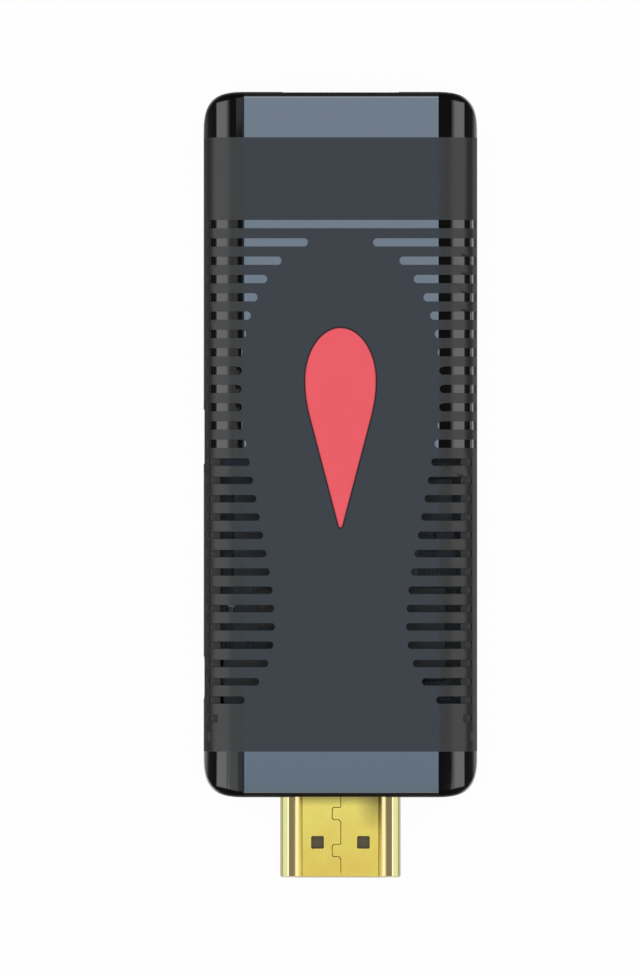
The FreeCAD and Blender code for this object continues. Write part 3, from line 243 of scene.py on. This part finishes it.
lens = bpy.data.cameras.new("camera")
lens.sensor_width = 36.0
lens.lens = lens.sensor_width * view_distance / view_height
camera = bpy.data.objects.new("camera", lens)
camera.location = (*view_middle, middle_height + view_distance)
bpy.context.scene.collection.objects.link(camera)
bpy.context.scene.camera = camera
bpy.context.scene.view_settings.view_transform = "Standard"

# Front cover
# A moulded shell of tough black plastic, snapped on the back cover, with a fine matte grain. Both ends
# and the floors of the stripes are polished, and the polish stops short of the corners. Light and shade
# are painted into its colour: a lighter roll with a highlight band, painted shade at the edges, sides and
# vent grooves and over the right flank, and painted light in the groove tails, on the right wall and
# where the rows end.

matte_half_length = 35.4
flat_half_width = 11.3
side_draft = math.radians(2.2)
roll_break = math.radians(6.0)
stripe_pitch = 2.11
first_stripe = 25.4
stripe_height = 0.95
polished_stripe_count = 13
stripe_depth_low = 0.09
stripe_depth_high = 0.35
row_margin = 0.01
flat_margin = 0.01
matte_colour = (0.046, 0.0545, 0.0635)
# The colours below, down to the one for the row ends, are painted light and shade over the matte colour.
roll_painted_light_colour = (0.053, 0.056, 0.058)
roll_highlight_colour = (0.077, 0.077, 0.077)
edge_shade_colour = (0.023, 0.023, 0.023)
side_shade_colour = (0.030, 0.031, 0.032)
tail_painted_light_colour = (0.052, 0.052, 0.052)
vent_tail_shade_colour = (0.038, 0.038, 0.037)
right_roll_shade_colour = (0.046, 0.0475, 0.048)
right_roll_highlight_colour = (0.064, 0.064, 0.063)
right_turn_shade_colour = (0.029, 0.029, 0.028)
right_wall_light_colour = (0.062, 0.062, 0.061)
lip_highlight_colour = (0.37, 0.37, 0.36)
lip_place = 15.17
lip_faint = 0.08
left_polish_end = -11.09
left_polish_loss = 0.87
corner_dark = 40.155
corner_dark_fade = 0.16
corner_dark_slope = 0.235
polish_colour = (0.003, 0.003, 0.0032)
rim_shine = 0.45
rim_loss = 0.7
stripe_lead = 0.045
# Pairs say where a shade begins and where it is full, in millimetres or in how far the face looks up.
roll_start = (0.0, 0.5)
bright_start = (1.2, 1.8)
lip_fade = (0.08, 0.24)
polish_upward = (0.735, 0.765)
right_turn_upward = (0.64, 0.76)
edge_upward = (0.55, 0.72)
tail_upward = (0.5, 0.7)
right_wall_upward = (0.40, 0.52)
rim_upward = (0.38, 0.5)
rim_sideways = (0.4, 0.7)
side_upward = (0.1, 0.3)
stripe_reach = 14.95
grain_size = 0.11
grain_depth = 0.006
matte_roughness = 0.52
roughness_spread = 0.06
cloud_size = 9.0
edge_softness = 0.06

cover_half_width = cover_high.x * 1000
cover_top = cover_high.z * 1000
cover_depth = cover_top - cover_low.z * 1000
roll_run = cover_half_width - flat_half_width - cover_depth * math.tan(side_draft)
roll_end = side_draft + roll_break
roll_radius = roll_run / (math.cos(roll_end) - math.tan(side_draft) * (1 - math.sin(roll_end)))
roll_middle = cover_top - roll_radius

front = new_finish("front_cover_finish", Specular_IOR_Level=0.03, Coat_Roughness=0.025, Coat_IOR=1.9)
x, y, z = front.place()
past_flat = (abs(x) - flat_half_width) | 0.0
below_skin = roll_radius - (past_flat ** 2.0 + (z - roll_middle) ** 2.0) ** 0.5
down = first_stripe + stripe_pitch / 2 - y
in_row = abs(down % stripe_pitch - stripe_pitch / 2) < stripe_height / 2 + row_margin
in_row = in_row * (down > 0.0)
in_groove = in_row * (below_skin > stripe_depth_low) * (below_skin < stripe_depth_high)
in_stripe = in_groove * (down < polished_stripe_count * stripe_pitch) * (abs(x) < stripe_reach)
polished = (abs(y) > matte_half_length) | in_stripe
sideways, upward = front.facing()[::2]
on_right = x > 0.0
# Painted light on the roll: lighter than the flat, with a painted highlight band further out, both a shade
# darker on the right.
roll = front.blend(on_right, roll_painted_light_colour, right_roll_shade_colour)
roll_highlight = front.blend(on_right, roll_highlight_colour, right_roll_highlight_colour)
grain_and_painted_light = front.blend(past_flat.climb(*roll_start), matte_colour, roll)
grain_and_painted_light = front.blend(past_flat.climb(*bright_start), grain_and_painted_light, roll_highlight)
# Painted shade on the right, where the roll turns down.
grain_and_painted_light = front.blend(on_right * (1 - upward.climb(*right_turn_upward)), grain_and_painted_light, right_turn_shade_colour)
# Painted shade where the roll turns steeply away from the top.
grain_and_painted_light = front.blend(1 - upward.climb(*edge_upward), grain_and_painted_light, edge_shade_colour)
in_polished_row = in_row * (down < polished_stripe_count * stripe_pitch)
# Painted light on the right side wall, outside the polished rows.
right_wall = on_right * (1 - upward.climb(*right_wall_upward)) * (1 - in_polished_row)
grain_and_painted_light = front.blend(right_wall, grain_and_painted_light, right_wall_light_colour)
# Painted shade on the drafted sides.
grain_and_painted_light = front.blend(1 - upward.climb(*side_upward), grain_and_painted_light, side_shade_colour)
# Painted shade in the vent grooves, and painted light at the outer ends of the groove tails.
grain_and_painted_light = front.blend(in_groove * (1 - in_polished_row), grain_and_painted_light, vent_tail_shade_colour)
grain_and_painted_light = front.blend(in_groove * (1 - upward.climb(*tail_upward)), grain_and_painted_light, tail_painted_light_colour)
# Painted highlights where the rows end at the side, strong in the right's polished rows and faint elsewhere.
lip_highlight_strength = on_right * in_polished_row * (1 - lip_faint) + lip_faint
at_lip = in_row * (1 - abs(abs(x) - lip_place).climb(*lip_fade))
grain_and_painted_light = front.blend(at_lip * lip_highlight_strength, grain_and_painted_light, lip_highlight_colour)
front.feed("Base Color", front.blend(polished, grain_and_painted_light, polish_colour))
end_rim = (abs(y) > matte_half_length) * (1 - upward.climb(*rim_upward))
end_rim = end_rim * abs(sideways).climb(*rim_sideways) * (1 - (y > 0.0) * (x < 0.0) * rim_loss)
shiny = polished * (upward + in_stripe * stripe_lead).climb(*polish_upward)
shiny = shiny * (1 - (x < left_polish_end) * (past_flat < flat_margin) * left_polish_loss)
to_corner = abs(y) + past_flat * corner_dark_slope
at_corner = to_corner.climb(corner_dark - corner_dark_fade, corner_dark) * (past_flat > flat_margin)
shiny = shiny * (1 - at_corner)
front.feed("Coat Weight", shiny | end_rim * rim_shine)
front.feed("Roughness", matte_roughness + front.noise(cloud_size, detail=1.0) * roughness_spread)
front.relief(front.noise(grain_size, detail=3.0) * (1 - polished), grain_depth, edge_softness)
dress(front, "front_cover")

# Back cover
# The lower shell, of the same plastic with the same grain all over, its sides painted darker as shade.
# Two screws and eight ribs inside it carry the circuit board, and its lip holds the front cover.

back = new_finish("back_cover_finish", Specular_IOR_Level=0.2)
# Painted shade on the faces that turn away from the top and bottom.
turned_away = 1 - abs(back.facing()[2]).climb(*edge_upward)
back.feed("Base Color", back.blend(turned_away, matte_colour, side_shade_colour))
back.feed("Roughness", matte_roughness + back.noise(cloud_size, detail=1.0) * roughness_spread)
back.relief(back.noise(grain_size, detail=3.0), grain_depth, edge_softness)
dress(back, "back_cover")

# Teardrop
# A coral red inlay, moulded by itself and pressed into its pocket with two pins. Its face is satin,
# and a thin line of painted shade runs along its rounded edge.

drop_colour = (0.80, 0.094, 0.116)
drop_deep_colour = (0.76, 0.084, 0.104)
drop_edge_shade_colour = (0.15, 0.022, 0.030)
drop_edge_width = 0.3
drop_edge_upward = (0.9, 0.999)

drop = new_finish("drop_finish", IOR=1.47)
tint = drop.noise(size=4.0, detail=1.0)
coral = drop.blend(tint, drop_colour, drop_deep_colour)
# Painted shade along the rounded edge, found from the softened normal.
softened = drop.add("Bevel", {"Radius": drop_edge_width / 1000.0}, samples=8)
near_edge = 1 - drop.add("SeparateXYZ", [softened], output=2).climb(*drop_edge_upward)
drop.feed("Base Color", drop.blend(near_edge, coral, drop_edge_shade_colour))
drop.feed("Roughness", 0.42 + tint * 0.06)
drop.relief(drop.noise(size=0.09, detail=3.0), depth=0.003, edge=0.05)
dress(drop, "drop_insert")

# Video plug shell
# Steel sheet, formed round a core until its ends meet in an interlocking seam, then plated with gold.
# Painted shade lies along the sloped folds, on the outer rims and at the root by the housing, with
# painted highlights on the rounded edges and the shoulders, and a painted brown reflection at one place.
# The sheared front edge shows the steel.

gold_colour = (0.76, 0.515, 0.108)
gold_pale_colour = (0.79, 0.63, 0.128)
gold_highlight_colour = (0.80, 0.71, 0.34)
gold_fold_shade_colour = (0.21, 0.165, 0.082)
gold_rim_shade_colour = (0.40, 0.39, 0.20)
gold_wall_highlight_colour = (1.0, 0.985, 0.485)
gold_reflection_colour = (0.31, 0.205, 0.05)
gold_root_shade_colour = (0.16, 0.115, 0.04)
brown_middle = (4.4, -40.6)
brown_width = 2.8
brown_length = 4.4
brown_core = 0.1
plug_root = 40.75
root_shade_length = 1.0
root_shade_strength = 0.7
sheared_steel = (0.60, 0.55, 0.45)
bright_upward = 0.80
bright_spread = (0.13, 0.16)
fold_upward = 0.536
fold_spread = (0.06, 0.12)
wall_upward = (0.5, 0.7)
wall_width = 1.05
wall_width_full = 0.99
plug_rim_upward = (0.08, 0.14)
plug_rim_width = 0.33
plug_rim_width_full = 0.29
sheared_depth = 0.12
sheared_fade = 0.03
plug_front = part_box("plug_shell")[0].y * 1000
plug_half_width = 6.95

gold = new_finish("gold_plate_finish", Metallic=1.0)
x, y = gold.place()[:2]
drawn = gold.noise(size=0.12, detail=3.0, stretch=(1.0, 12.0, 1.0))
blotch = gold.noise(size=2.5, detail=2.0)
plated = gold.blend(blotch, gold_colour, gold_pale_colour)
# Painted reflection: a brown patch on the right, by the housing.
brown_x = (x - brown_middle[0]) / brown_width
brown_y = (y - brown_middle[1]) / brown_length
brown_reflection = 1 - ((brown_x ** 2.0 + brown_y ** 2.0) ** 0.5).climb(brown_core, 1.0)
plated = gold.blend(brown_reflection, plated, gold_reflection_colour)
# Painted shade by the housing, darkest at the root and gone a millimetre out.
root_shade = (y + plug_root).climb(-root_shade_length, 0.0)
plated = gold.blend(root_shade * root_shade_strength, plated, gold_root_shade_colour)
upward = gold.facing()[2]
# Painted highlight on the rounded edges, by how far they face up.
plated = gold.blend(1 - abs(upward - bright_upward).climb(*bright_spread), plated, gold_highlight_colour)
# Painted shade on the sloped folds, by how far they face up.
plated = gold.blend(1 - abs(upward - fold_upward).climb(*fold_spread), plated, gold_fold_shade_colour)
# Painted highlight on the shoulders by the side walls.
at_wall = abs(x).climb(plug_half_width - wall_width, plug_half_width - wall_width_full)
plated = gold.blend(at_wall * upward.climb(*wall_upward), plated, gold_wall_highlight_colour)
# Painted shade on the outer rims.
at_rim = abs(x).climb(plug_half_width - plug_rim_width, plug_half_width - plug_rim_width_full)
plated = gold.blend(at_rim * upward.climb(*plug_rim_upward), plated, gold_rim_shade_colour)
sheared_end = plug_front + sheared_depth
sheared = 1 - y.climb(sheared_end - sheared_fade, sheared_end + sheared_fade)
gold.feed("Base Color", gold.blend(sheared, plated, sheared_steel))
gold.feed("Roughness", 0.05 + drawn * 0.02 + blotch * 0.03)
gold.relief(drawn, depth=0.0003, edge=0.05)
dress(gold, "plug_shell")

# Video plug core
# Olive glass-filled plastic, moulded in one piece with a slot for the other half's tongue. It is pushed
# into the shell, fills it from end to end and shows in the latch windows.

core_colour = (0.088, 0.077, 0.042)
core_pale_colour = (0.118, 0.104, 0.058)

core = new_finish("plug_core_finish", IOR=1.5)
flow = core.noise(size=0.9, detail=4.0, stretch=(1.0, 3.0, 1.0))
core.feed("Base Color", core.blend(flow, core_colour, core_pale_colour))
core.feed("Roughness", 0.45 + flow * 0.2)
core.relief(flow, depth=0.004, edge=0.04)
dress(core, "plug_insulator")

# Connector plastics
# Black glass-filled plastic of the data socket, power port, jack, card socket and reset switch, held on
# the board by their soldered contacts and shells. Flow marks run through it.

black_plastic = (0.043, 0.046, 0.053)
black_plastic_pale = (0.068, 0.071, 0.079)

plastic = new_finish("connector_plastic_finish", IOR=1.5)
flow = plastic.noise(size=1.2, detail=4.0, stretch=(1.0, 3.0, 1.0))
plastic.feed("Base Color", plastic.blend(flow, black_plastic, black_plastic_pale))
plastic.feed("Roughness", 0.38 + flow * 0.2)
plastic.relief(flow, depth=0.004, edge=0.04)
dress(
    plastic, "usb_insulator", "power_port_insulator", "ir_jack_body", "card_socket_base", "reset_switch_base"
)

# Contacts
# Strips of bronze, plated with gold and soldered to the board, and pressed or moulded into the plastics
# above. The legs beside the jack are painted near black as shade, because a vent shows them.

contact_gold = (0.85, 0.62, 0.23)
contact_gold_pale = (0.92, 0.70, 0.30)
solder_grey = (0.42, 0.41, 0.40)
board_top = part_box("circuit_board")[1].z * 1000
jack_low, jack_high = (corner * 1000 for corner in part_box("ir_jack_body"))
jack_half_width = 3.02
jack_leg_shade_colour = (0.018, 0.0185, 0.019)


def contact_finish(name):
    """Gold-plated strip. Gives the finish and its plated colour."""
    finish = new_finish(name, Metallic=1.0)
    rolled = finish.noise(size=0.08, detail=2.0, stretch=(1.0, 10.0, 1.0))
    finish.feed("Roughness", 0.12 + rolled * 0.1)
    finish.relief(rolled, depth=0.001, edge=0.02)
    return finish, finish.blend(rolled, contact_gold, contact_gold_pale)


contact, plated = contact_finish("contact_finish")
contact.feed("Base Color", plated)
dress(contact, "plug_contacts", "usb_contacts", "power_port_contacts", "card_socket_contacts")

jack_contact, plated = contact_finish("jack_contact_finish")
y = jack_contact.place()[1]
# Painted shade: the legs beside the jack are near black.
outside_jack = abs(y - (jack_low.y + jack_high.y) / 2) > jack_half_width
jack_contact.feed("Base Color", jack_contact.blend(outside_jack, plated, jack_leg_shade_colour))
dress(jack_contact, "ir_jack_contacts")

# Data socket shell
# Stainless sheet with a bright nickel skin, folded round the core and closed by a seam. Its spring
# fingers are cut from the same sheet, and its legs are soldered into the board.

nickel_colour = (0.55, 0.54, 0.51)
nickel_pale_colour = (0.68, 0.66, 0.62)

nickel = new_finish("nickel_finish", Metallic=1.0)
marks = nickel.noise(size=0.1, detail=3.0, stretch=(1.0, 14.0, 1.0))
nickel.feed("Base Color", nickel.blend(marks, nickel_colour, nickel_pale_colour))
nickel.feed("Roughness", 0.2 + marks * 0.14)
nickel.relief(marks, depth=0.001, edge=0.05)
dress(nickel, "usb_shell")

# Power port shell and reset switch cover
# The same sheet, coloured near black as painted shade, so that it doesn't shine through the vents above
# it. The shell's legs are soldered into the board, and the cover is clipped over its switch.

shade_dark_nickel_colour = (0.066, 0.068, 0.076)
shade_dark_nickel_pale_colour = (0.095, 0.097, 0.106)

shade_dark_nickel = new_finish("shade_dark_nickel_finish", Metallic=1.0)
marks = shade_dark_nickel.noise(size=0.1, detail=3.0, stretch=(14.0, 1.0, 1.0))
# Painted shade: the sheet is coloured near black.
shade_dark_nickel.feed("Base Color", shade_dark_nickel.blend(marks, shade_dark_nickel_colour, shade_dark_nickel_pale_colour))
shade_dark_nickel.feed("Roughness", 0.28 + marks * 0.14)
shade_dark_nickel.relief(marks, depth=0.001, edge=0.05)
dress(shade_dark_nickel, "power_port_shell", "reset_switch_cover")

# Card socket lid and snap disc
# Tinned steel: the card socket's lid, clipped over its base, and the reset switch's snap disc. The
# grain of the tin shows as faint crystals.

tin_colour = (0.50, 0.50, 0.50)
tin_pale_colour = (0.64, 0.64, 0.63)

tin = new_finish("tinned_sheet_finish", Metallic=1.0)
crystals = tin.noise(size=0.7, detail=4.0)
tin.feed("Base Color", tin.blend(crystals, tin_colour, tin_pale_colour))
tin.feed("Roughness", 0.26 + crystals * 0.2)
tin.relief(crystals, depth=0.002, edge=0.04)
dress(tin, "card_socket_cover", "reset_dome")

# Reset plunger
# A small slider of black acetal with a collar that keeps it in. A pin through the hole in the side
# presses it.

acetal_black = (0.080, 0.080, 0.078)
acetal_pale = (0.105, 0.105, 0.102)

acetal = new_finish("plunger_finish", IOR=1.48)
chalk = acetal.noise(size=0.4, detail=2.0)
acetal.feed("Base Color", acetal.blend(chalk, acetal_black, acetal_pale))
acetal.feed("Roughness", 0.4 + chalk * 0.1)
acetal.relief(chalk, depth=0.004, edge=0.03)
dress(acetal, "reset_plunger")

# Circuit boards
# Glass cloth in epoxy under a matte black mask, held by the ribs and two screws. Tracks and covered
# vias stand a little proud, and the routed edges show the bare yellow laminate.

mask_black = (0.062, 0.072, 0.082)
track_black = (0.088, 0.100, 0.108)
via_black = (0.110, 0.122, 0.127)
laminate_colour = (0.30, 0.26, 0.13)
laminate_deep_colour = (0.20, 0.17, 0.08)
track_pitch = 0.45
track_width = 0.2
track_zone = 3.2
track_zone_stretch = 1.3
track_turned_share = 0.5
track_height = 0.02
via_pitch = 1.6
via_radius = 0.2
via_left_out_share = 0.6
face_upward = 0.7

boards = new_finish("board_finish", IOR=1.5)
x, y = boards.place()[:2]
zone = boards.add("CombineXYZ", [x - x % track_zone, y - y % (track_zone * track_zone_stretch), 0.0])
turned = boards.add("TexWhiteNoise", {"Vector": zone}) > track_turned_share
across = x * turned + y * (1 - turned)
tracks = across % track_pitch < track_width
via_place = boards.add("CombineXYZ", [x - x % via_pitch, y - y % via_pitch, 0.0])
chosen = boards.add("TexWhiteNoise", {"Vector": via_place}) > via_left_out_share
from_via = ((x % via_pitch - via_pitch / 2) ** 2.0 + (y % via_pitch - via_pitch / 2) ** 2.0) ** 0.5
flat_side = abs(boards.facing()[2]) > face_upward
vias = chosen * (from_via < via_radius) * flat_side
masked = boards.blend(tracks, mask_black, track_black)
masked = boards.blend(vias, masked, via_black)
weave = boards.noise(size=0.15, detail=2.0, stretch=(1.0, 1.0, 0.3))
laminate = boards.blend(weave, laminate_colour, laminate_deep_colour)
boards.feed("Base Color", boards.blend(flat_side, laminate, masked))
boards.feed("Roughness", 0.42 + weave * 0.1)
boards.relief((tracks | vias) * flat_side, track_height)
dress(boards, "circuit_board", "wifi_board")

# Board screws
# Two plated steel screws through the board into the back cover's bosses. The heads show the rings
# that the tool left.

head_radius = 1.45
ring_pitch = 0.12
screw_colour = (0.42, 0.42, 0.43)
screw_pale_colour = (0.58, 0.57, 0.55)
screws_low, screws_high = (corner * 1000 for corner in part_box("board_screws"))

screw = new_finish("screw_finish", Metallic=1.0)
x, y = screw.place()[:2]
at_socket_end = y > 0.0
at_plug_end = 1 - at_socket_end
axis_x = (screws_high.x - head_radius) * at_plug_end + (screws_low.x + head_radius) * at_socket_end
axis_y = (screws_low.y + head_radius) * at_plug_end + (screws_high.y - head_radius) * at_socket_end
rings = ((x - axis_x) ** 2.0 + (y - axis_y) ** 2.0) ** 0.5 % ring_pitch / ring_pitch
wear = screw.noise(size=0.5, detail=3.0)
screw.feed("Base Color", screw.blend(wear, screw_colour, screw_pale_colour))
screw.feed("Roughness", 0.24 + wear * 0.16)
screw.relief(rings, depth=0.003, edge=0.04)
dress(screw, "board_screws")

# Chip packages
# Moulded black resin, pitted like fine sandpaper and soldered to the board. A shallow dimple marks the
# first terminal of each. The processor's resin sits on a green carrier.

resin_colour = (0.080, 0.083, 0.095)
resin_pale_colour = (0.120, 0.125, 0.140)
dimple_radius = 0.35
dimple_inset = 1.0
dimple_floor = 0.8
grit_share = 0.15
carrier_colour = (0.020, 0.060, 0.030)
carrier_height = 0.4


def chip_finish(name, dimples):
    """Pitted resin with a dimple at each given place. Gives the finish and its colour."""
    finish = new_finish(name, IOR=1.5)
    x, y = finish.place()[:2]
    grit = finish.noise(size=0.08, detail=2.0)
    height = grit * grit_share
    for dimple_x, dimple_y in dimples:
        away = ((x - dimple_x) ** 2.0 + (y - dimple_y) ** 2.0) ** 0.5
        height = height + away.climb(dimple_radius * dimple_floor, dimple_radius)
    finish.feed("Roughness", 0.48 + grit * 0.2)
    finish.relief(height, depth=0.05)
    return finish, finish.blend(grit, resin_colour, resin_pale_colour)


def corner_dimple(name):
    low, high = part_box(name)
    return low.x * 1000 + dimple_inset, high.y * 1000 - dimple_inset


for name in ("flash_chip", "power_manager", "surge_arrays"):
    chip, resin = chip_finish(name + "_finish", [corner_dimple(name)])
    chip.feed("Base Color", resin)
    dress(chip, name)

memory_length = 11.0
memory_width = 8.0
memory_low, memory_high = (corner * 1000 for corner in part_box("memory_chips"))
memory_dimples = [
    (memory_low.x + dimple_inset, memory_low.y + memory_length - dimple_inset),
    (memory_high.x - memory_width + dimple_inset, memory_high.y - dimple_inset),
]
memory, resin = chip_finish("memory_finish", memory_dimples)
memory.feed("Base Color", resin)
dress(memory, "memory_chips")

processor, resin = chip_finish("processor_finish", [corner_dimple("processor")])
z = processor.place()[2]
processor.feed("Base Color", processor.blend(z > board_top + carrier_height, carrier_colour, resin))
dress(processor, "processor")

# Voltage regulators
# Two small resin packages whose flat tinned leads stand out on both sides and are soldered to the
# board.

lead_height = 0.2
lead_margin = 0.01
regulator_width = 1.6
regulators_low, regulators_high = (corner * 1000 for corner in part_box("voltage_regulators"))
regulator_middle = (regulators_low.x + regulators_high.x) / 2

regulator, resin = chip_finish("regulator_finish", [])
x, z = regulator.place()[::2]
leads = (abs(x - regulator_middle) > regulator_width / 2) * (z < board_top + lead_height + lead_margin)
regulator.feed("Base Color", regulator.blend(leads, resin, solder_grey))
regulator.feed("Metallic", leads)
dress(regulator, "voltage_regulators")

# Power inductors
# Pressed iron powder round a hidden coil, with a tinned terminal low on two sides, soldered to the
# board.

terminal_height = 1.0
terminal_depth = 0.12
powder_colour = (0.032, 0.031, 0.030)
powder_pale_colour = (0.062, 0.060, 0.056)
inductors_low, inductors_high = (corner * 1000 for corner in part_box("power_inductors"))
inductor_middle = (inductors_low.x + inductors_high.x) / 2
inductor_half = (inductors_high.x - inductors_low.x) / 2

ferrite = new_finish("inductor_finish", IOR=1.5)
x, z = ferrite.place()[::2]
terminals = (abs(x - inductor_middle) > inductor_half - terminal_depth) * (z < board_top + terminal_height)
powder = ferrite.noise(size=0.14, detail=3.0)
pressed = ferrite.blend(powder, powder_colour, powder_pale_colour)
ferrite.feed("Base Color", ferrite.blend(terminals, pressed, solder_grey))
ferrite.feed("Metallic", terminals)
ferrite.feed("Roughness", 0.55 + powder * 0.2)
ferrite.relief(powder, depth=0.012)
dress(ferrite, "power_inductors")

# Capacitors, resistors and the chip antenna
# Fired ceramic bricks with dull tinned ends, soldered to the board in rows. The antenna is a longer,
# bluish brick with a printed meander.

ceramic_tan = (0.085, 0.066, 0.052)
ceramic_tan_pale = (0.125, 0.098, 0.076)
resistor_black = (0.030, 0.030, 0.032)
resistor_pale = (0.045, 0.045, 0.047)
dull_end_colour = (0.165, 0.166, 0.17)
antenna_blue = (0.030, 0.036, 0.046)
antenna_print_colour = (0.12, 0.12, 0.12)
antenna_end = 0.4
meander_pitch = 0.5
meander_width = 0.14
meander_depth = 0.02
end_margin = 0.05


def brick_finish(name, length, end, rows, colour, other):
    """Fired body with a tinned cap at both ends. The bricks lie along X, in rows along Y."""
    finish = new_finish(name, IOR=1.5)
    x = finish.place()[0]
    caps = x * 0.0
    for row in rows:
        away = abs(x - row)
        caps = caps | (away > length / 2 - end) * (away < length / 2 + end_margin)
    speck = finish.noise(size=0.25, detail=3.0)
    finish.feed("Base Color", finish.blend(caps, finish.blend(speck, colour, other), dull_end_colour))
    finish.feed("Metallic", caps)
    finish.feed("Roughness", 0.36 + speck * 0.12)
    finish.relief(speck, depth=0.004)
    return finish


capacitor_length = 1.6
capacitor_end = 0.34
capacitor_rows = (8.4, -8.4, -1.5)
capacitor = brick_finish(
    "capacitor_finish", capacitor_length, capacitor_end, capacitor_rows, ceramic_tan, ceramic_tan_pale
)
dress(capacitor, "capacitors")

resistor_length = 1.0
resistor_end = 0.2
resistor_rows = (11.2, -11.2, 5.6)
resistor = brick_finish(
    "resistor_finish", resistor_length, resistor_end, resistor_rows, resistor_black, resistor_pale
)
dress(resistor, "resistors")

antenna_low, antenna_high = (corner * 1000 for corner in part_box("chip_antenna"))
antenna = new_finish("antenna_finish", IOR=1.5)
y, z = antenna.place()[1:]
ends = (y > antenna_high.y - antenna_end) | (y < antenna_low.y + antenna_end)
meander = (y % meander_pitch < meander_width) * (z > antenna_high.z - meander_depth)
printed = ends | meander
antenna.feed("Base Color", antenna.blend(printed, antenna_blue, antenna_print_colour))
antenna.feed("Metallic", printed)
antenna.feed("Roughness", 0.34 + antenna.noise(size=0.2) * 0.12)
dress(antenna, "chip_antenna")

# Clock crystals
# Sealed cans, soldered to the board: a ceramic tray below and a nickel-plated lid welded on it.

crystal_lid_colour = (0.17, 0.17, 0.165)
crystal_lid_pale_colour = (0.22, 0.22, 0.21)
tray_colour = (0.16, 0.13, 0.10)
tray_margin = 0.01
crystals_low, crystals_high = (corner * 1000 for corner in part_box("clock_crystals"))
tray_top = (crystals_low.z + crystals_high.z) / 2

crystal = new_finish("crystal_finish", IOR=1.5)
z = crystal.place()[2]
lid = z > tray_top - tray_margin
haze = crystal.noise(size=0.5, detail=3.0)
plate = crystal.blend(haze, crystal_lid_colour, crystal_lid_pale_colour)
crystal.feed("Base Color", crystal.blend(lid, tray_colour, plate))
crystal.feed("Metallic", lid)
crystal.feed("Roughness", 0.3 + haze * 0.12)
crystal.relief(haze, depth=0.002, edge=0.04)
dress(crystal, "clock_crystals")

# Wireless shield
# A drawn can over the wireless module, soldered to its board. Its outside is painted near black as
# shade, where the vents show it.

shield_shade_colour = (0.058, 0.063, 0.071)
shield_shade_pale_colour = (0.078, 0.084, 0.094)

shield_shade = new_finish("shield_finish", IOR=1.5)
peel = shield_shade.noise(size=0.35, detail=2.0)
# Painted shade: the can is coloured near black.
shield_shade.feed("Base Color", shield_shade.blend(peel, shield_shade_colour, shield_shade_pale_colour))
shield_shade.feed("Roughness", 0.42 + peel * 0.12)
shield_shade.relief(peel, depth=0.006, edge=0.06)
dress(shield_shade, "wifi_shield")

# Cooler
# An extruded aluminium fin block with a black anodic skin, held on the processor by a soft pad.

skin_colour = (0.050, 0.054, 0.060)
skin_pale_colour = (0.074, 0.079, 0.088)
pad_colour = (0.22, 0.34, 0.52)
pad_pale_colour = (0.30, 0.43, 0.62)

skin = new_finish("cooler_finish", IOR=1.5)
drawn = skin.noise(size=0.1, detail=3.0, stretch=(1.0, 14.0, 1.0))
skin.feed("Base Color", skin.blend(drawn, skin_colour, skin_pale_colour))
skin.feed("Roughness", 0.4 + drawn * 0.15)
skin.relief(drawn, depth=0.004, edge=0.05)
dress(skin, "heat_sink")

pad = new_finish("pad_finish", IOR=1.45)
filler = pad.noise(size=0.2, detail=3.0)
pad.feed("Base Color", pad.blend(filler, pad_colour, pad_pale_colour))
pad.feed("Roughness", 0.7 + filler * 0.1)
pad.relief(filler, depth=0.01)
dress(pad, "thermal_pad")

# Status lamp
# A white ceramic cup with a lens of smoky yellowish resin, soldered to the board.

cup_height = 0.3
cup_colour = (0.35, 0.35, 0.34)
lens_deep_colour = (0.095, 0.094, 0.072)
lens_pale_colour = (0.130, 0.128, 0.100)

status = new_finish("led_finish", IOR=1.5)
z = status.place()[2]
cloud = status.noise(size=0.3, detail=1.0)
lens_colour = status.blend(cloud, lens_deep_colour, lens_pale_colour)
status.feed("Base Color", status.blend(z > board_top + cup_height, cup_colour, lens_colour))
status.feed("Roughness", 0.22 + cloud * 0.1)
status.relief(cloud, depth=0.004)
dress(status, "status_led")
